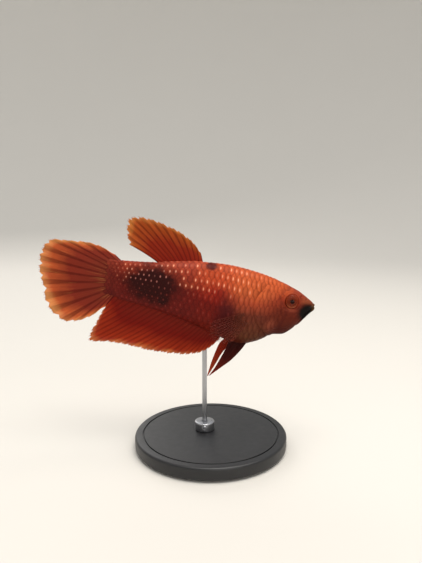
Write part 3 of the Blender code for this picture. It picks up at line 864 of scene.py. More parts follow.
def bake_place(tree):
    """A small patch of the unwrap for each plate, whose hidden front has a small share of it."""
    leaf = axes_of(named_value(tree, "leaf"))
    hidden = {"From Min": SCALE_FRONT, "From Max": SCALE_SHOULDER, "To Max": HIDDEN_SHARE}
    free = {"From Min": SCALE_SHOULDER, "From Max": SCALE_REAR, "To Max": 1 - HIDDEN_SHARE}
    spans = [add_node(tree, "ShaderNodeMapRange", {"Value": leaf["X"], **span}) for span in (hidden, free)]
    lengthwise = plus(spans[0].outputs[0], spans[1].outputs[0])
    crosswise = plus(times(leaf["Y"], 0.5 / SCALE_HALF_HEIGHT), 0.5)
    within = add_node(tree, "ShaderNodeCombineXYZ", {"X": lengthwise, "Y": crosswise}).outputs[0]
    return vector_maths("ADD", named_value(tree, "root"), scaled(within, BAKE_PATCH))


def make_scale_tree():
    """Sets a copy of the template at every root and drapes it over the guide."""
    inputs = (
        ("Roots", "Geometry"), ("Guide", "Object"), ("Template", "Object"), ("Lift scale", "Float"),
        ("Size spread", "Float"), ("Seed", "Int"), ("Material", "Material"),
    )
    tree, given = with_sockets("scale_rows", inputs, "Scales")
    guide = add_node(tree, "GeometryNodeObjectInfo", {"Object": given["Guide"]}).outputs["Geometry"]
    template = add_node(tree, "GeometryNodeObjectInfo", {"Object": given["Template"]}).outputs["Geometry"]
    plates = set_out(tree, guide, template, given)
    flat = add_node(tree, "GeometryNodeInputPosition").outputs[0]
    on_skin = sampled(tree, guide, add_node(tree, "GeometryNodeInputPosition").outputs[0], flat)[0]
    outward = sampled(tree, guide, named_value(tree, "outward"), flat)[0]
    lift = sampled(tree, guide, named_value(tree, "lift", "FLOAT"), flat, "FLOAT")[0]
    raised = times(times(axes_of(flat)["Z"], lift), given["Lift scale"])
    draped = vector_maths("ADD", on_skin, scaled(outward, raised))
    plates = add_node(tree, "GeometryNodeSetPosition", {"Geometry": plates, "Position": draped}).outputs[0]
    plates = stored(tree, plates, "OFBake", bake_place(tree), "FLOAT2", "CORNER")
    finished = {"Geometry": plates, "Material": given["Material"]}
    plates = add_node(tree, "GeometryNodeSetMaterial", finished).outputs[0]
    add_node(tree, "NodeGroupOutput", {0: plates})
    return tree


def grown(name, base, tree, inputs):
    """Runs a geometry tree on a base object and returns the plain mesh that it makes."""
    bpy.context.scene.collection.objects.link(base)
    modifier = base.modifiers.new(name, "NODES")
    modifier.node_group = tree
    for item in tree.interface.items_tree:
        if item.in_out == "INPUT" and item.name in inputs:
            modifier[item.identifier] = inputs[item.name]
    graph = bpy.context.evaluated_depsgraph_get()
    mesh = bpy.data.meshes.new_from_object(base.evaluated_get(graph), depsgraph=graph)
    mesh.name = name
    bpy.data.objects.remove(base)
    return shown(name, mesh)


def attribute(tree, name):
    """The outputs that read an attribute of the piece."""
    return add_node(tree, "ShaderNodeAttribute", attribute_name=name).outputs


def painted_glint_spot(leaf, place, dark, chance):
    """The share and the colour of a scale's painted glint, a pale highlight, which fades out towards head
    and belly.
    """
    away = length_of(stretched(vector_maths("SUBTRACT", leaf, SPOT_MIDDLE), *SPOT_NARROWING))
    axes = axes_of(place)
    behind = times(axes["X"], -1)
    on_rows = times(eased(behind, 18, 44), eased(behind, 100, 92))
    high = eased(axes["Z"], -3.0, 4.0)
    strong = times(times(on_rows, high), eased(axes["Z"], 14.6, 13.2))
    glint = larger(times(strong, 0.80), times(on_rows, 0.24))
    # Painted glint: a pale highlight near each scale's crest, strongest on the upper rows.
    share = maths("MULTIPLY", eased(away, 1.25, 0.35), times(glint, eased(chance, 0.02, 0.75)), clamped=True)
    return share, painted(high, GLINT_ROSE, painted(dark, GLINT_PALE, GLINT_LAVENDER)), high


def make_scale_material():
    """The skin's markings on horn: a dark rim, fine growth rings, painted shade under the scale ahead and a
    painted glint.
    """
    material, tree, shader = new_material("horny_scales")
    markings = add_node(tree, "ShaderNodeGroup", node_tree=FISH_PAINT).outputs
    leaf = attribute(tree, "leaf")["Vector"]
    chance = attribute(tree, "chance")["Fac"]
    leaf_axes = axes_of(leaf)
    crosswise = maths("DIVIDE", leaf_axes["Y"], SCALE_HALF_HEIGHT)
    rounding = maths("SUBTRACT", 1, times(crosswise, crosswise), clamped=True)
    rear = plus(times(maths("SQRT", rounding), SCALE_REAR - SCALE_SHOULDER), SCALE_SHOULDER)
    from_edge = minus(rear, leaf_axes["X"])
    # The painted glint on each scale, a pale highlight, and its colour.
    painted_glint, painted_glint_colour, high = painted_glint_spot(leaf, markings["Place"], markings["Dark"], chance)
    plain = minus(1, markings["Dark"])
    rim = times(eased(from_edge, 0.24, 0.02), plus(times(plain, 0.26), 0.22))
    # Painted shade at the front of each scale, where the scale ahead overlaps it.
    tucked = times(eased(leaf_axes["X"], 0.12, -0.35), times(plain, 0.40))
    lighter = times(eased(chance, 0.6, 1.0), times(times(high, plain), 0.10))
    darker = times(eased(chance, 0.4, 0.0), times(plain, 0.22))
    colour = markings["Colour"]
    for share, over in (
        (rim, SCALE_RIM_AND_SHADE), (tucked, SCALE_RIM_AND_SHADE), (lighter, MOTTLE_LIGHT), (darker, MOTTLE_DARK),
        (painted_glint, painted_glint_colour),
    ):
        colour = painted(share, colour, over)
    growth = maths("SINE", times(from_edge, GROWTH_RINGS))
    grit = grain(markings["Place"], 5.0, detail=2.0)
    varnish = {"Coat Weight": 0.02, "Coat Roughness": 0.18, **DULL}
    finish(shader, colour, rough(grit, 0.20, 0.32), plus(times(growth, 0.35), grit), 0.00001, varnish)
    return material


SCALE_MATERIAL = make_scale_material()
SCALE_TREE = make_scale_tree()
SCALE_TEMPLATE = scale_template()


def lay_scales(name, flank, on_head, seed):
    """Makes one coat piece, on the right flank for 1 and the left for -1."""
    guide = scale_guide(name + "_guide", flank, on_head)
    start, end = (HEAD_SCALES_START, HEAD_SCALES_END) if on_head else (FLANK_START, FLANK_END)
    rows = range(ROWS_ON_FLANK + 1) if flank > 0 else range(1, ROWS_ON_FLANK)
    inputs = {
        "Guide": guide, "Template": SCALE_TEMPLATE, "Lift scale": PERCENT, "Size spread": SIZE_SPREAD,
        "Seed": seed, "Material": SCALE_MATERIAL,
    }
    coat = grown(name, scale_roots(name + "_roots", start, end, rows), SCALE_TREE, inputs)
    bpy.data.objects.remove(guide)
    if flank < 0:
        coat.data.flip_normals()
    coat.data.set_sharp_from_angle(angle=CRISP_EDGE)
    settle(coat, "scaled_skin")


lay_scales("scales_right", 1, False, 11)
lay_scales("scales_left", -1, False, 23)
lay_scales("head_scales_right", 1, True, 31)
lay_scales("head_scales_left", -1, True, 43)
bpy.data.objects.remove(SCALE_TEMPLATE)


# ---------------------------------------------------------------------------------------------
# Back, anal and tail fins: thin tinted membrane cast over tapering rays that fork near the rim.
# The root is as thick as the flesh it grows from; the rim is a fringe of ray tips with the
# membrane drawn in between them, clear enough to glow where light comes through.
# ---------------------------------------------------------------------------------------------

# Each fin: its outline, its rays, how far they bow, where they fork, how the sheet waves, and
# its paint from the root to the rim as (place, red, green, blue). The pale rim of that paint is
# partly the fin's own colour and partly painted light shining through the thin membrane; flecks
# sets the pale flecks near the root, which are painted glints of the scales and rays there.
DORSAL = {
    "name": "dorsal_fin", "root": ((57.0, 13.2), (67.0, 12.0), (77.0, 10.6)),
    "tips": (
        (58.8, 18.6), (62.6, 22.9), (67.8, 26.3), (74.2, 28.9), (81.0, 30.7), (87.6, 31.6),
        (92.8, 31.0), (95.0, 28.6), (94.6, 23.2), (92.6, 18.0),
    ),
    "rays": 13, "bow": 0.02, "forks": (0.58, 0.86), "wave": 0.9, "waves": 1.3, "turn": 0.6,
    "ray_radius": 0.30, "seed": 3, "lines": 0.48, "flecks": 0.0, "clear_rim": 0.34, "glow": 0.38,
    "paint": ((0.0, 146, 35, 21), (0.45, 158, 50, 27), (0.86, 186, 90, 37), (0.99, 222, 142, 66)),
}
ANAL = {
    "name": "anal_fin", "root": ((43.0, -19.6), (52.0, -16.2), (71.0, -11.2), (96.9, -6.8)),
    "tips": (
        (44.6, -23.4), (50.5, -29.2), (58.5, -32.4), (67.5, -33.0), (77.5, -32.5),
        (87.0, -31.2), (97.0, -30.9), (107.0, -31.2), (104.5, -21.8), (101.0, -13.4),
    ),
    "rays": 28, "bow": -0.02, "forks": (0.66,), "wave": 0.9, "waves": 2.2, "turn": 2.0,
    "ray_radius": 0.24, "seed": 5, "lines": 0.38, "flecks": 0.0, "clear_rim": 0.34, "glow": 0.38,
    "paint": ((0.0, 130, 40, 29), (0.45, 134, 30, 20), (0.86, 182, 60, 29), (0.99, 220, 126, 58)),
}
CAUDAL = {
    "name": "caudal_fin", "root": ((95.0, 9.0), (98.5, 6.0), (99.0, 0.4), (98.5, -4.6), (97.0, -6.6)),
    "tips": (
        (99.4, 12.2), (108.6, 16.0), (120.4, 16.4), (129.8, 15.2), (133.8, 8.6), (133.8, 0.8),
        (131.6, -8.0), (127.8, -17.6), (118.8, -23.0), (108.8, -19.8), (101.2, -13.6),
    ),
    "rays": 15, "bow": 0.0, "forks": (0.42, 0.74), "wave": 1.2, "waves": 1.6, "turn": 0.0,
    "ray_radius": 0.34, "seed": 7, "lines": 0.52, "flecks": 0.34, "clear_rim": 0.34, "glow": 0.38,
    "paint": ((0.0, 130, 52, 38), (0.58, 148, 55, 39), (0.84, 204, 100, 56), (0.99, 240, 168, 96)),
}
RAY_PAINT = ((0.0, 100, 25, 18), (0.45, 84, 18, 15), (0.82, 88, 20, 16), (1.0, 170, 76, 42))
RAY_DEEP = paint(84, 18, 15)
SUNK_SHARE = 0.05
STEPS_PER_RAY = 8
STEPS_ALONG_FIN = 44
STEPS_ALONG_RAY = 30
RAY_SIDES = 8
PLEAT = 0.16
WAVE_LEAN = 1.8
SCALLOP = 1.3
UNEVENNESS = 0.4
RIM_PACES = (2.3, 3.7, 5.9)
ROOT_THICKNESS = 1.3
RIM_THICKNESS = 0.20
FORK_SPREADS = (0.17, 0.08)
FORK_THINNING = 0.22
TIP_RADIUS_SHARE = 0.30
TIP_PAST_RIM = 0.012
TIP_UNEVENNESS = 0.012
RAY_JOINTS = 190.0


def along(points, share):
    """The point at a share of the way along evenly numbered points."""
    at = share * (len(points) - 1)
    return np.stack([smooth_values(list(enumerate(axis)), at) for axis in zip(*points)], -1)


def fan_place(fin, across, out):
    """A point of a spread fin: across counts rays, out goes from 0 at the root to 1 at the rim."""
    share = across / (fin["rays"] - 1)
    start = along(fin["root"], share)
    chord = along(fin["tips"], share) - start
    turned = np.stack((-chord[..., 1], chord[..., 0]), -1)
    bend = fin["bow"] * 4 * np.clip(out, 0, 1) * (1 - np.clip(out, 0, 1))
    flat = start + chord * out[..., None] + turned * bend[..., None]
    free = np.clip(out, 0, 1.1)
    phase = 2 * math.pi * fin["waves"] * share + fin["turn"] + WAVE_LEAN * free
    side = fin["wave"] * free**1.5 * np.sin(phase) + PLEAT * np.sqrt(free) * np.cos(math.pi * across)
    return np.concatenate((flat, side[..., None]), -1)


def notch(fin, across):
    """How far the rim draws in, from 0 at a ray tip to 1 between two tips."""
    from_edge = np.minimum(across, fin["rays"] - 1 - across)
    once = np.cos(2 * math.pi * from_edge)
    twice = np.cos(4 * math.pi * from_edge)
    return np.where(from_edge < 0.5, 0.5 - 0.5 * once, (0.5 + 0.5 * twice) * (0.7 - 0.3 * once))


def uneven_rim(fin, across):
    """A small wandering of the rim, so that no two rays end quite level."""
    count = len(RIM_PACES)
    turns = np.random.default_rng(fin["seed"]).uniform(0, 2 * math.pi, count)
    return sum(np.sin(across * pace + turn) for pace, turn in zip(RIM_PACES, turns)) / count


def fin_grid(rays, steps):
    """The share from root to rim and the ray count across, over a whole membrane."""
    line = np.linspace(0, rays - 1, (rays - 1) * STEPS_PER_RAY + 1)
    return np.meshgrid(np.linspace(-SUNK_SHARE, 1, steps), line, indexing="ij")


def tapered(root_thickness, out, power):
    """Half the thickness of a membrane, from its root to its thin rim."""
    spare = (root_thickness - RIM_THICKNESS) * (1 - np.clip(out, 0, 1)) ** power
    return 0.5 * (RIM_THICKNESS + spare)


def fan_sheet(fin):
    """The out and across values and the half thickness over a spread fin's membrane."""
    share, across = fin_grid(fin["rays"], STEPS_ALONG_FIN)
    line = across[0]
    chord = along(fin["tips"], line / line[-1]) - along(fin["root"], line / line[-1])
    length = np.linalg.norm(chord, axis=-1)
    reach = 1 - SCALLOP / length * notch(fin, line) + UNEVENNESS / length * uneven_rim(fin, line)
    out = np.where(share > 0, share * reach, share)
    return across, out, tapered(ROOT_THICKNESS, out, 3)


def fin_sheet(name, placed, sheet, material):
    """A closed membrane piece that carries its ray count and outward share for its paint."""
    across, out, half = sheet
    points = placed(across, out)
    off = outward_normals(points) * half[..., None]
    both = np.concatenate((points + off, points - off))
    piece = new_piece(name, in_frame(both), closed_sheet_faces(*out.shape), material)
    weave = np.stack((across, out, 0 * out), -1).reshape(-1, 3)
    store(piece.data, "fin", np.concatenate((weave, weave)))
    return piece


def fork_offsets(fin):
    """The branches of one ray: (share where it starts, the side it takes at each fork)."""
    forks = fin["forks"]
    if len(forks) == 1:
        return [(0, (-1,)), (forks[0], (1,))]
    return [(0, (-1, -1)), (forks[1], (-1, 1)), (forks[0], (1, -1)), (forks[1], (1, 1))]


def branch_line(fin, ray, start, sides, reach):
    """The across and out values along one branch of a ray, and its radius."""
    out = np.linspace(start - (SUNK_SHARE if start == 0 else 0), reach, STEPS_ALONG_RAY)
    across = np.full_like(out, ray)
    radius = fin["ray_radius"] * (1 - (1 - TIP_RADIUS_SHARE) * np.clip(out, 0, 1) ** 0.8)
    for fork, side, spread in zip(fin["forks"], sides, FORK_SPREADS):
        parted = np.clip((out - fork) / (1 - fork), 0, 1)
        across = across + side * spread * parted**0.85
        radius = radius * (1 - FORK_THINNING * fade(parted, 0, 0.2))
    return across, out, radius


def fan_branches(fin):
    """Every branch of every ray; the first and the last ray don't fork."""
    branches = []
    for ray in range(fin["rays"]):
        at_edge = ray in (0, fin["rays"] - 1)
        reach = 1 + TIP_PAST_RIM + TIP_UNEVENNESS * float(uneven_rim(fin, np.array(float(ray))))
        for start, sides in [(0, ())] if at_edge else fork_offsets(fin):
            branches.append(branch_line(fin, ray, start, sides, reach))
    return branches


def ray_lines(name, placed, branches):
    """Polylines of all branches, with their radius and paint values, as one mesh."""
    points, edges, radii, weave = [], [], [], []
    for across, out, radius in branches:
        first = len(points)
        points.extend(in_frame(placed(across, out)).tolist())
        edges.extend((k, k + 1) for k in range(first, len(points) - 1))
        radii.extend(radius * PERCENT)
        weave.extend(zip(across, out, 0 * out))
    mesh = bpy.data.meshes.new(name)
    mesh.from_pydata(points, edges, [])
    store(mesh, "radius_of_ray", np.array(radii))
    store(mesh, "fin", np.array(weave))
    return bpy.data.objects.new(name, mesh)


def make_ray_tree():
    """Sweeps a round section, as thick as each point says, along every line."""
    inputs = (("Lines", "Geometry"), ("Sides", "Int"), ("Material", "Material"))
    tree, given = with_sockets("fin_rays", inputs, "Rays")
    curves = add_node(tree, "GeometryNodeMeshToCurve", {"Mesh": given["Lines"]}).outputs[0]
    ring = {"Resolution": given["Sides"], "Radius": 1.0}
    section = add_node(tree, "GeometryNodeCurvePrimitiveCircle", ring).outputs[0]
    thick = named_value(tree, "radius_of_ray", "FLOAT")
    sweep = {"Curve": curves, "Profile Curve": section, "Scale": thick, "Fill Caps": True}
    rays = add_node(tree, "GeometryNodeCurveToMesh", sweep).outputs[0]
    rays = add_node(tree, "GeometryNodeSetShadeSmooth", {0: rays}).outputs[0]
    rays = add_node(tree, "GeometryNodeRealizeInstances", {0: rays}).outputs[0]
    finished = {"Geometry": rays, "Material": given["Material"]}
    rays = add_node(tree, "GeometryNodeSetMaterial", finished).outputs[0]
    add_node(tree, "NodeGroupOutput", {0: rays})
    return tree


def ray_shade(across, out):
    """1 on the line of a ray, in a band that widens where the ray forks, and 0 between the rays."""
    line = maths("COSINE", times(across, 2 * math.pi))
    return eased(plus(line, times(eased(out, 0.5, 1.0), 0.4)), 0.15, 0.95)


def translucent_mix(shader, colour, share):
    """Lets a share of the light through the sheet, in the sheet's own colour."""
    tree = shader.id_data
    glow = add_node(tree, "ShaderNodeBsdfTranslucent", {"Color": colour}).outputs[0]
    both = add_node(tree, "ShaderNodeMixShader", {0: share, 1: shader.outputs[0], 2: glow}).outputs[0]
    fill(next(made for made in tree.nodes if made.type == "OUTPUT_MATERIAL"), {"Surface": both})


def make_fin_material(name, fin, ray_colour):
    """Tinted membrane: paint from root to rim, darker along the rays, finely streaked, with painted glints
    near the root.
    """
    material, tree, shader = new_material(name)
    stops = mixed_stops(fin["paint"])
    weave = attribute(tree, "fin")["Vector"]
    across, out = axes_of(weave)[:2]
    streaks = grain(stretched(weave, 5.0, 2.2, 1.0), 1.0, detail=4.0, roughness=0.65)
    clouds = grain(stretched(weave, 0.5, 3.0, 1.0), 1.0)
    level = maths("ADD", plus(out, swayed(clouds, 0.30)), swayed(streaks, 0.22), clamped=True)
    lines = times(ray_shade(across, out), fin["lines"])
    kept = plus(times(eased(out, 1.0, 0.75), 0.6), 0.4)
    # Painted glints: pale flecks near the root, highlights off the scales and rays there, over fine pale
    # streaks.
    root_glint_strength = times(eased(out, 0.34, 0.10), fin["flecks"])
    flecks = times(eased(streaks, 0.53, 0.66), root_glint_strength)
    pale_streaks_and_glints = larger(times(eased(streaks, 0.60, 0.80), 0.30), flecks)
    colour = painted(times(lines, kept), graded(level, stops), ray_colour)
    colour = painted(pale_streaks_and_glints, colour, stops[-1][1])
    clear = times(times(eased(out, 0.78, 1.0), fin["clear_rim"]), minus(1, times(lines, 0.7)))
    fill(shader, {"Alpha": minus(1, clear)})
    finish(shader, colour, rough(streaks, 0.25, 0.33), streaks, 0.00003, DULL)
    translucent_mix(shader, colour, fin["glow"])
    return material


def make_ray_material(name, chart):
    """Horny rays in short joints, with paint from the root to the tips."""
    material, tree, shader = new_material(name)
    weave = attribute(tree, "fin")["Vector"]
    out = axes_of(weave)["Y"]
    flecks = grain(stretched(weave, 7.0, 9.0, 1.0), 1.0)
    colour = graded(maths("ADD", out, swayed(flecks, 0.4), clamped=True), mixed_stops(chart))
    joints = maths("SINE", times(out, RAY_JOINTS))
    finish(shader, colour, rough(flecks, 0.25, 0.30), plus(times(joints, 0.5), flecks), 0.00002, DULL)
    return material


RED_RAYS = make_ray_material("red_rays", RAY_PAINT)
RAY_TREE = make_ray_tree()


def add_fin(name, slot, placed, sheet, branches, membrane_material, ray_material):
    """A whole fin: its membrane stands for the frame's fin, and its rays ride in it."""
    membrane = fin_sheet(name + "_membrane", placed, sheet, membrane_material)
    settle(membrane, slot, name)
    lines = ray_lines(name + "_lines", placed, branches)
    settle(grown(name + "_rays", lines, RAY_TREE, {"Sides": RAY_SIDES, "Material": ray_material}), slot)


def placed_by(place, fin):
    """The place of a point of one fin, from its across and out values."""
    return lambda across, out: place(fin, across, out)


for fan in (DORSAL, ANAL, CAUDAL):
    fan_material = make_fin_material(fan["name"] + "_paint", fan, RAY_DEEP)
    fan_placed = placed_by(fan_place, fan)
    add_fin(fan["name"], "red_fin", fan_placed, fan_sheet(fan), fan_branches(fan), fan_material, RED_RAYS)


# ---------------------------------------------------------------------------------------------
# Pelvic fins: two narrow blades under the breast, each a few close rays that end in a point,
# the near one painted almost black as painted shade under the belly and the far one red; and the
# clear fan-shaped pectoral fins, whose faintly red rays are all that shows of them against the flank.
# ---------------------------------------------------------------------------------------------

# Both pelvic fins have one colour; the near one is painted near-black as painted shade under the belly.
RIGHT_PELVIC = {
    "name": "pelvic_fin_right", "side": 1, "slot": "dark_fin", "finish": "dark",
    "front": ((30.4, -21.0), (33.2, -25.9), (37.0, -31.0), (41.5, -35.3), (45.9, -39.4)),
    "rear": ((39.0, -21.0), (40.3, -26.4), (42.2, -31.2), (44.2, -35.8), (46.6, -40.0)),
    "lines": 0.5, "flecks": 0.0, "clear_rim": 0.0, "glow": 0.20,
    "paint": ((0.0, 42, 11, 9), (0.45, 68, 16, 12), (1.0, 134, 38, 22)),
}
LEFT_PELVIC = {
    "name": "pelvic_fin_left", "side": -1, "slot": "red_fin", "finish": "far",
    "front": ((33.0, -20.8), (37.8, -25.0), (41.2, -30.0), (43.6, -36.2), (46.5, -43.4)),
    "rear": ((38.8, -20.4), (42.8, -24.8), (44.5, -30.2), (45.8, -36.2), (47.0, -44.0)),
    "lines": 0.5, "flecks": 0.0, "clear_rim": 0.0, "glow": 0.30,
    "paint": ((0.0, 146, 40, 22), (0.5, 172, 50, 26), (1.0, 198, 84, 48)),
}
PELVIC_RAYS = 6
PELVIC_SIDE_AT_ROOT = 2.6
PELVIC_SIDE_AT_TIP = 5.4
PELVIC_STEPS = 40
PELVIC_THICKNESS = 1.1
PELVIC_RAY_RADIUS = 0.26
PELVIC_PLEAT = 0.22
PELVIC_THINNING = 0.75
PECTORAL_ROOT = ((31.6, -5.2), (31.2, -9.0))
PECTORAL_LENGTH = 21.0
PECTORAL_ROUNDING = 0.95
PECTORAL_LONGEST_AT = 0.42
TOP_RAY_FALL = math.radians(12)
LOW_RAY_FALL = math.radians(62)
PECTORAL_SIDE_AT_ROOT = 7.8
PECTORAL_SIDE_AT_TIP = 12.4
PECTORAL_RAYS = 12
PECTORAL_THICKNESS = 0.7
PECTORAL_RAY_RADIUS = 0.16
PECTORAL_THINNING = 0.7
PECTORAL_SCALLOP = 0.035
PECTORAL_CURL = 0.5
PECTORAL_CURL_TURNS = 0.7
PECTORAL_PLEAT = 0.10
CLEAR_PAINT = ((0.0, 98, 48, 32), (0.5, 92, 38, 28), (1.0, 104, 44, 34))


def pelvic_place(fin, across, out):
    """A point of a pelvic fin: across counts rays from the front, out runs to the tip."""
    share = (across / (PELVIC_RAYS - 1))[..., None]
    free = np.clip(out, 0, 1)
    flat = along(fin["front"], free) * (1 - share) + along(fin["rear"], free) * share
    first_quarter = along(fin["front"], 0.25 + 0 * out) - along(fin["front"], 0 * out)
    sunk = np.minimum(out, 0)[..., None] * first_quarter * 4
    side = PELVIC_SIDE_AT_ROOT + (PELVIC_SIDE_AT_TIP - PELVIC_SIDE_AT_ROOT) * free
    pleat = PELVIC_PLEAT * np.cos(math.pi * across) * (1 - free)
    return np.concatenate((flat + sunk, (-fin["side"] * side + pleat)[..., None]), -1)


def pectoral_place(side, across, out):
    """A point of a pectoral fin: a fan that opens back and down from a short root."""
    share = across / (PECTORAL_RAYS - 1)
    fall = TOP_RAY_FALL + (LOW_RAY_FALL - TOP_RAY_FALL) * share
    length = PECTORAL_LENGTH * (1 - PECTORAL_ROUNDING * (share - PECTORAL_LONGEST_AT) ** 2)
    top, low = np.array(PECTORAL_ROOT)
    start = top + (low - top) * share[..., None]
    tip = (top + low) / 2 + np.stack((np.cos(fall), -np.sin(fall)), -1) * length[..., None]
    flat = start + (tip - start) * out[..., None]
    free = np.clip(out, 0, 1.1)
    spread = PECTORAL_SIDE_AT_ROOT + (PECTORAL_SIDE_AT_TIP - PECTORAL_SIDE_AT_ROOT) * free
    curl = PECTORAL_CURL * free**2 * np.cos(2 * math.pi * PECTORAL_CURL_TURNS * share)
    curl = curl + PECTORAL_PLEAT * free * np.cos(math.pi * across)
    return np.concatenate((flat, (-side * (spread + curl))[..., None]), -1)


def make_clear_membrane():
    """Smoky membrane, mostly clear at the root and clearer still towards the rim."""
    material, tree, shader = new_material("clear_membrane")
    weave = attribute(tree, "fin")["Vector"]
    out = axes_of(weave)["Y"]
    streaks = grain(stretched(weave, 4.0, 2.0, 1.0), 1.0, detail=4.0)
    density = minus(0.24, times(eased(out, 0.1, 0.9), 0.12))
    fill(shader, {"Alpha": plus(density, swayed(streaks, 0.12))})
    finish(shader, graded(out, mixed_stops(CLEAR_PAINT)), 0.42, streaks, 0.00002, DULL)
    return material


def straight_branches(count, reach, root_radius, thinning):
    """Rays that don't fork, each as its across and out values and its radius."""
    out = np.linspace(-SUNK_SHARE, reach, STEPS_ALONG_RAY)
    radius = root_radius * (1 - thinning * np.clip(out, 0, 1))
    return [(np.full_like(out, ray), out, radius) for ray in range(count)]


for pelvic in (RIGHT_PELVIC, LEFT_PELVIC):
    ray_colour = paint(*pelvic["paint"][0][1:])
    blade_material = make_fin_material(pelvic["finish"] + "_membrane", pelvic, ray_colour)
    blade_rays = make_ray_material(pelvic["finish"] + "_rays", pelvic["paint"])
    blade_out, blade_across = fin_grid(PELVIC_RAYS, PELVIC_STEPS)
    blade_sheet = (blade_across, blade_out, tapered(PELVIC_THICKNESS, blade_out, 2))
    branches = straight_branches(PELVIC_RAYS, 1, PELVIC_RAY_RADIUS, PELVIC_THINNING)
    blade_placed = placed_by(pelvic_place, pelvic)
    add_fin(pelvic["name"], pelvic["slot"], blade_placed, blade_sheet, branches, blade_material, blade_rays)

CLEAR_MEMBRANE = make_clear_membrane()
CLEAR_RAYS = make_ray_material("clear_rays", CLEAR_PAINT)
for side_name, side in (("right", 1), ("left", -1)):
    fan_share, fan_across = fin_grid(PECTORAL_RAYS, PELVIC_STEPS)
    drawn_in = PECTORAL_SCALLOP * (0.5 - 0.5 * np.cos(2 * math.pi * fan_across))
    fan_out = np.where(fan_share > 0, fan_share * (1 - drawn_in), fan_share)
    clear_sheet = (fan_across, fan_out, tapered(PECTORAL_THICKNESS, fan_out, 3))
    reach = 1 + TIP_PAST_RIM
    branches = straight_branches(PECTORAL_RAYS, reach, PECTORAL_RAY_RADIUS, PECTORAL_THINNING)
    clear_placed = placed_by(pectoral_place, side)
    name = "pectoral_fin_" + side_name
    add_fin(name, "clear_fin", clear_placed, clear_sheet, branches, CLEAR_MEMBRANE, CLEAR_RAYS)


# ---------------------------------------------------------------------------------------------
# Eyes: a flattened cast globe with a dished rust-red iris and a small dark lens that bulges
# through the pupil, under a clear cornea. Each sits in its pit, flush with the ring of skin
# round it, and looks a little upward and ahead as the fish's own do.
# ---------------------------------------------------------------------------------------------

EYE_LOOKS_UP = math.radians(7)
EYE_LOOKS_AHEAD = math.radians(5)
EYE_FLATNESS = 2.5
LIMBUS_SHARE = 0.86
PUPIL_SHARE = 0.30
IRIS_SUNK = 0.10
IRIS_CREST = 0.24
LENS_SUNK = 0.08
LENS_CREST = 0.92
LENS_FLATNESS = 0.7
CORNEA_SHARE = 0.90
CORNEA_THICKNESS = 0.16
CORNEA_PROUD = 0.01
EYE_SIDES = 72
BACK_RINGS = 12
RIM_RINGS = 8
IRIS_RINGS = 12
LENS_RINGS = 10
CORNEA_RINGS = 16
PUPIL_DARK = paint(40, 12, 8)
PUPIL_RING = paint(150, 60, 28)
# Colour of the painted highlight low on the eye, on the lit lower rim of its pit.
ORBIT_HIGHLIGHT_PINK = paint(176, 96, 62)
# Paint from the middle of the pupil to the rim of the globe, as (place, red, green, blue).
IRIS_PAINT = (
    (0.0, 40, 12, 8), (0.31, 40, 12, 8), (0.36, 150, 60, 28), (0.42, 128, 43, 20),
    (0.58, 128, 43, 20), (0.70, 150, 56, 29), (0.84, 150, 56, 29), (0.91, 114, 38, 21),
    (0.97, 134, 48, 28),
)


def globe_rise(share):
    """Height of the globe's front over its middle, at a share of its radius."""
    return EYE_BULGE_RADIUS * np.sqrt(np.clip(1 - share**EYE_FLATNESS, 0, 1))


def turned_piece(name, middle, axis, profile, sides, material):
    """Turns a profile of (radius, height) in metres about an axis into a closed piece."""
    middle = Vector(middle)
    axis = Vector(axis).normalized()
    first = axis.orthogonal().normalized()
    second = axis.cross(first)
    points = []
    for radius, height in profile[1:-1]:
        for k in range(sides):
            turn = 2 * math.pi * k / sides
            spoke = first * math.cos(turn) + second * math.sin(turn)
            points.append(middle + axis * height + spoke * radius)
    points += [middle + axis * profile[0][1], middle + axis * profile[-1][1]]
    faces = [face[::-1] for face in closed_tube_faces(len(profile) - 2, sides)]
    return new_piece(name, [tuple(point) for point in points], faces, material)


def eye_middle_and_axis(side):
    """The middle of an eye and the way that it looks, for side 1 on the right."""
    middle = in_frame((EYE_BEHIND, EYE_UP, -side * EYE_SIDE))
    outward = -side * math.cos(EYE_LOOKS_UP) * math.cos(EYE_LOOKS_AHEAD) * LEFTWARD
    axis = outward + math.sin(EYE_LOOKS_UP) * UPWARD - math.sin(EYE_LOOKS_AHEAD) * BACKWARD
    return middle, axis


def eye_sized(profile):
    """A profile of (share of the eye's radius, height in percent) in metres."""
    return [(share * EYE_RADIUS * PERCENT, height * PERCENT) for share, height in profile]


def globe_profile():
    """From the back pole over the rim, down into the iris and up over the lens."""
    turns = np.linspace(math.pi / 2, 0.0, BACK_RINGS)
    profile = [(math.cos(turn), -math.sin(turn) * EYE_BULGE_RADIUS) for turn in turns]
    profile += [(share, globe_rise(share)) for share in np.linspace(0.995, LIMBUS_SHARE, RIM_RINGS)]
    iris_base = globe_rise(LIMBUS_SHARE) - IRIS_SUNK
    for share in np.linspace(LIMBUS_SHARE - 0.03, PUPIL_SHARE, IRIS_RINGS):
        rise = IRIS_CREST * EYE_BULGE_RADIUS * (1 - (share / LIMBUS_SHARE) ** 2)
        profile.append((share, iris_base + rise))
    lens_base = profile[-1][1] - LENS_SUNK
    for share in np.linspace(PUPIL_SHARE - 0.02, 0, LENS_RINGS):
        dome = math.sqrt(1 - (share / PUPIL_SHARE) ** 2) * LENS_FLATNESS
        profile.append((share, lens_base + (LENS_CREST * EYE_BULGE_RADIUS - lens_base) * dome))
    return eye_sized(profile)


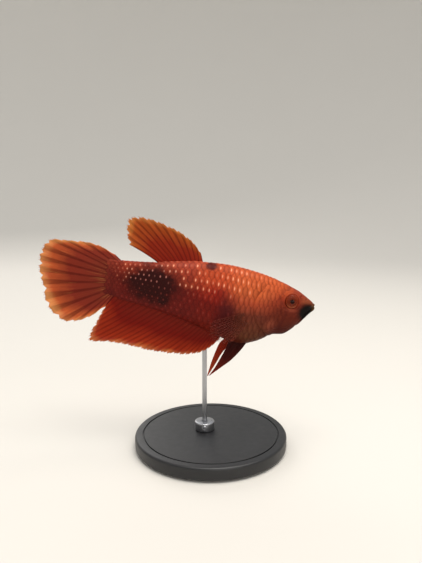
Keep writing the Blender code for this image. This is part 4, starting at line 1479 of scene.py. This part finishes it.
def cornea_profile():
    """A clear shell over iris and lens, with an inner and an outer face."""
    shares = np.linspace(0, CORNEA_SHARE, CORNEA_RINGS)
    inner = [(share, globe_rise(share) - CORNEA_THICKNESS) for share in shares]
    outer = [(share, globe_rise(share) + CORNEA_PROUD) for share in shares[::-1]]
    return eye_sized(inner + outer)


def make_globe_material():
    """Painted globe: dark lens, thin copper ring, streaked rust-red iris, and a pale crescent below as a
    painted highlight.
    """
    material, tree, shader = new_material("painted_globe")
    eye = attribute(tree, "eye")["Vector"]
    away, up = axes_of(eye)[:2]
    fibres = grain(stretched(eye, 3.0, 14.0, 14.0), 1.0)
    colour = graded(plus(away, swayed(fibres, 0.10)), mixed_stops(IRIS_PAINT))
    colour = painted(times(eased(fibres, 0.55, 0.75), 0.3), colour, PUPIL_RING)
    # Painted highlight: a pale crescent low on the iris, where light from above falls on the pit's lower
    # rim.
    below = times(eased(away, 0.62, 0.76), eased(away, 0.96, 0.86))
    crescent = times(times(eased(up, -0.35, -0.92), below), 0.7)
    colour = painted(crescent, colour, ORBIT_HIGHLIGHT_PINK)
    colour = painted(eased(away, 0.34, 0.29), colour, PUPIL_DARK)
    finish(shader, colour, rough(eased(away, 0.32, 0.40), 0.22, 0.10), fibres, 0.00002, DULL)
    return material


def make_cornea_material():
    """Clear lacquered shell, faintly smoky in the depth of its paint."""
    material, tree, shader = new_material("clear_cornea")
    ripple = grain(object_place(tree), 900.0, detail=1.0)
    tint = painted(ripple, paint(40, 14, 9), paint(52, 20, 12))
    finish(shader, tint, 0.04, ripple, 0.000004, {"Alpha": 0.16, "Specular IOR Level": 0.18})
    return material


def mark_eye(piece, middle, axis):
    """Stores each point's share of the eye's radius and its spoke, for the painted iris."""
    axis = np.array(Vector(axis).normalized())
    points = np.array([vertex.co for vertex in piece.data.vertices]) - middle
    flat = points - np.outer(points @ axis, axis)
    away = np.linalg.norm(flat, axis=1)
    spoke = flat / np.maximum(away, 1e-9)[:, None]
    share = away / (EYE_RADIUS * PERCENT)
    store(piece.data, "eye", np.stack((share, spoke @ UPWARD, spoke @ BACKWARD), -1))


GLOBE_MATERIAL = make_globe_material()
CORNEA_MATERIAL = make_cornea_material()
for side_name, side in (("right", 1), ("left", -1)):
    seat = eye_middle_and_axis(side)
    globe = turned_piece("globe_" + side_name, *seat, globe_profile(), EYE_SIDES, GLOBE_MATERIAL)
    mark_eye(globe, *seat)
    settle(globe, "eye", "eye_" + side_name)
    cornea = turned_piece("cornea_" + side_name, *seat, cornea_profile(), EYE_SIDES, CORNEA_MATERIAL)
    settle(cornea, "eye")


# ---------------------------------------------------------------------------------------------
# Display stand: a turned disc of satin black acrylic with a felt sole, a small steel collar
# pinned by a grub screw, and a brushed steel rod that rises through the collar beside the root
# of the anal fin into the flank.
# ---------------------------------------------------------------------------------------------

STAND_SIDES = 144
SCREW_SIDES = 36
ROD_SIDES = 48
QUARTER = math.pi / 2
FELT_THICKNESS = 0.00035
FELT_INSET = 0.0012
FELT_EDGE = 0.0001
EDGE_RADIUS = 0.0005
GROOVE_INSET = 0.0016
GROOVE_WIDTH = 0.00035
GROOVE_DEPTH = 0.00022
COLLAR_CORNER = 0.00025
SCREW_RADIUS = 0.00055
SCREW_BURIED = 0.0004
SCREW_PROUD = 0.00018
SCREW_CORNER = 0.00008
SOCKET_RADIUS = 0.00027
SOCKET_DEPTH = 0.00035
TURNED_CORNER = math.radians(40)
ALONG_ROD = (9000, 9000, 260)
ROUND_COLLAR = (300, 300, 9000)
BASE_BLACK = paint(22, 22, 24)
BASE_SCUFF = paint(52, 52, 55)
FELT_DARK = paint(30, 31, 34)
FELT_GREY = paint(46, 47, 50)
STEEL_LIGHT = paint(196, 197, 200)
STEEL_DARK = paint(140, 141, 146)


def rounded_corner(radius, height, turn_from, turn_to, size, steps=6):
    """Points of a small arc whose middle is at (radius, height)."""
    turns = np.linspace(turn_from, turn_to, steps)
    return [(radius + size * math.cos(turn), height + size * math.sin(turn)) for turn in turns]


def rounded_disc(radius, low, high, corner):
    """The section of a disc from the middle of its sole, round both rounded edges."""
    profile = [(0, low)]
    profile += rounded_corner(radius - corner, low + corner, -QUARTER, 0, corner)
    return profile + rounded_corner(radius - corner, high - corner, 0, QUARTER, corner)


def make_acrylic_material():
    """Satin black acrylic: fine turning marks and a few faint scuffs."""
    material, tree, shader = new_material("satin_acrylic")
    place = object_place(tree)
    dust = grain(place, 700.0, detail=4.0)
    scuffs = eased(grain(place, 160.0, detail=5.0, roughness=0.7), 0.56, 0.78)
    colour = painted(times(scuffs, 0.35), BASE_BLACK, BASE_SCUFF)
    finish(shader, colour, rough(dust, 0.18, 0.34), dust, 0.00002, {})
    return material


def make_felt_material():
    material, tree, shader = new_material("grey_felt")
    nap = grain(object_place(tree), 2600.0, detail=4.0, roughness=0.8)
    finish(shader, painted(nap, FELT_DARK, FELT_GREY), 0.95, nap, 0.00008, {})
    return material


def make_steel_material(name, stretch):
    """Brushed steel, with its brush marks drawn out along one direction."""
    material, tree, shader = new_material(name)
    brushed = grain(stretched(object_place(tree), *stretch), 1.0, detail=5.0, roughness=0.7)
    colour = painted(brushed, STEEL_DARK, STEEL_LIGHT)
    finish(shader, colour, rough(brushed, 0.20, 0.20), brushed, 0.00001, {"Metallic": 1.0})
    return material


def turned_part(name, slot, foot, profile, sides, material, *stands_for, axis=(0, 0, 1)):
    """A turned piece of the stand, whose corners stay crisp under smooth shading."""
    piece = turned_piece(name, foot, axis, profile, sides, material)
    piece.data.set_sharp_from_angle(angle=TURNED_CORNER)
    settle(piece, slot, *stands_for)


def node_sizes(node):
    """A node's foot, its half width and its highest level."""
    low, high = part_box(node)
    middle = (low + high) / 2
    return (middle.x, middle.y, low.z), (high.x - low.x) / 2, high.z


def make_base():
    foot, radius, top = node_sizes("stand_base")
    groove = radius - GROOVE_INSET
    height = top - foot[2]
    profile = rounded_disc(radius, FELT_THICKNESS, height, EDGE_RADIUS)
    profile += [(groove, height), (groove - 0.2 * GROOVE_WIDTH, height - GROOVE_DEPTH)]
    profile += [(groove - 0.8 * GROOVE_WIDTH, height - GROOVE_DEPTH), (groove - GROOVE_WIDTH, height)]
    profile += [(0.5 * radius, height), (0, height)]
    acrylic = make_acrylic_material()
    turned_part("stand_disc", "stand_black", foot, profile, STAND_SIDES, acrylic, "stand_base")
    sole = radius - FELT_INSET
    felt = [(0, 0), (sole - FELT_EDGE, 0), (sole, FELT_EDGE), (sole, FELT_THICKNESS), (0, FELT_THICKNESS)]
    turned_part("stand_felt", "stand_black", foot, felt, STAND_SIDES, make_felt_material())


def make_collar(base_top):
    """The collar stands on the base; a grub screw in its side clamps the rod."""
    foot, radius, top = node_sizes("stand_collar")
    rod_radius = node_sizes("stand_rod")[1]
    height = top - base_top
    steel = make_steel_material("turned_steel", ROUND_COLLAR)
    profile = rounded_disc(radius, 0, height, COLLAR_CORNER)
    profile += [(rod_radius * 1.5, height), (rod_radius * 1.2, height - COLLAR_CORNER)]
    profile += [(0, height - COLLAR_CORNER)]
    on_base = (foot[0], foot[1], base_top)
    turned_part("stand_ring", "stand_steel", on_base, profile, STAND_SIDES, steel, "stand_collar")
    hole = (foot[0], foot[1] - radius + SCREW_BURIED, base_top + height / 2)
    face = SCREW_BURIED + SCREW_PROUD
    screw = [
        (0, 0), (SCREW_RADIUS, 0), (SCREW_RADIUS, face - SCREW_CORNER), (SCREW_RADIUS - SCREW_CORNER, face),
        (SOCKET_RADIUS, face), (SOCKET_RADIUS, face - SOCKET_DEPTH), (0, face - SOCKET_DEPTH),
    ]
    turned_part("stand_screw", "stand_steel", hole, screw, SCREW_SIDES, steel, axis=(0, -1, 0))


def make_rod(base_top):
    foot, radius, top = node_sizes("stand_rod")
    length = top - base_top
    profile = [(0, 0), (radius, 0), (radius, 0.5 * length), (radius, length - radius)]
    profile += rounded_corner(0, length - radius, 0, QUARTER, radius)[1:-1] + [(0, length)]
    steel = make_steel_material("brushed_steel", ALONG_ROD)
    on_base = (foot[0], foot[1], base_top)
    turned_part("stand_post", "stand_steel", on_base, profile, ROD_SIDES, steel, "stand_rod")


make_base()
base_top = node_sizes("stand_base")[2]
make_collar(base_top)
make_rod(base_top)


# ---------------------------------------------------------------------------------------------
# The studio table: a pale board that sweeps up all round, a broad soft light overhead, weaker
# ones behind the fish and beside the camera, and the camera a little above, looking down at it.
# ---------------------------------------------------------------------------------------------

BOARD_PALE = paint(214, 210, 203)
BOARD_CLOUDED = paint(196, 190, 180)
BOARD_MIDDLE = 0.02
BOARD_RADIUS = 0.34
SWEEP_RADIUS = 0.34
BOARD_SIDES = 96
BOARD_RINGS = 10
SWEEP_RINGS = 24
# Each light: its name, place, size, watts and colour. All of them are turned to the fish.
LIGHTS = (
    ("overhead", (0.06, -0.05, 0.36), 0.26, 1.25, (1.0, 0.96, 0.90)),
    ("behind", (-0.16, 0.30, 0.22), 0.24, 0.32, (1.0, 0.97, 0.94)),
    ("beside_camera", (0.12, -0.34, 0.14), 0.22, 0.30, (1.0, 0.97, 0.94)),
)
LIT_PLACE = Vector((0, 0, 0.03))
SKY_COLOUR = (0.86, 0.88, 0.90, 1)
SKY_STRENGTH = 0.75
CAMERA_DOWN = math.radians(9)
CAMERA_DISTANCE = 0.110
CAMERA_LEFT_OF_SNOUT = 0.02126
CAMERA_OVER_SNOUT = 0.00524
CAMERA_LENS = 45.7
CAMERA_SENSOR = 36


def make_board():
    """A round board whose rim curves up into a wall, all in one smooth sheet."""
    material, tree, shader = new_material("pale_board")
    cloud = grain(object_place(tree), 9.0, detail=4.0)
    fill(shader, {"Base Color": painted(times(cloud, 0.12), BOARD_PALE, BOARD_CLOUDED), "Roughness": 0.85})
    sections = [(radius, 0.0) for radius in np.linspace(BOARD_MIDDLE, BOARD_RADIUS, BOARD_RINGS)]
    for k in range(1, SWEEP_RINGS + 1):
        turn = QUARTER * k / SWEEP_RINGS
        rise = SWEEP_RADIUS * (1 - math.cos(turn))
        sections.append((BOARD_RADIUS + SWEEP_RADIUS * math.sin(turn), rise))
    turns = np.linspace(0, 2 * math.pi, BOARD_SIDES, endpoint=False)
    rings = [[(r * math.cos(turn), r * math.sin(turn), z) for turn in turns] for r, z in sections]
    faces = grid_faces(len(rings), BOARD_SIDES, True)[:, ::-1].tolist()
    faces.append(list(range(BOARD_SIDES)))
    return new_piece("board", rings, faces, material)


def add_light(name, place, size, watts, colour):
    """A square soft light at a place, turned to the fish."""
    light = bpy.data.lights.new(name, "AREA")
    light.size = size
    light.energy = watts
    light.color = colour
    lamp = shown(name, light)
    lamp.location = place
    lamp.rotation_euler = (LIT_PLACE - Vector(place)).to_track_quat("-Z", "Y").to_euler()


def add_camera():
    camera_data = bpy.data.cameras.new("camera")
    camera_data.sensor_fit = "HORIZONTAL"
    camera_data.sensor_width = CAMERA_SENSOR
    camera_data.lens = CAMERA_LENS
    camera_data.clip_start = 0.005
    camera_data.clip_end = 10
    camera = shown("camera", camera_data)
    ahead = Vector((0, math.cos(CAMERA_DOWN), -math.sin(CAMERA_DOWN)))
    above = Vector((0, math.sin(CAMERA_DOWN), math.cos(CAMERA_DOWN)))
    left = Vector((-1, 0, 0))
    aim = Vector(SNOUT) + left * CAMERA_LEFT_OF_SNOUT + above * CAMERA_OVER_SNOUT
    camera.location = aim - ahead * CAMERA_DISTANCE
    camera.rotation_euler = (QUARTER - CAMERA_DOWN, 0, 0)
    bpy.context.scene.camera = camera


def make_world():
    world = bpy.data.worlds.new("studio")
    world.use_nodes = True
    fill(world.node_tree.nodes["Background"], {"Color": SKY_COLOUR, "Strength": SKY_STRENGTH})
    bpy.context.scene.world = world


board = make_board()
for light in LIGHTS:
    add_light(*light)
add_camera()
make_world()
bpy.context.scene.view_settings.view_transform = "Standard"
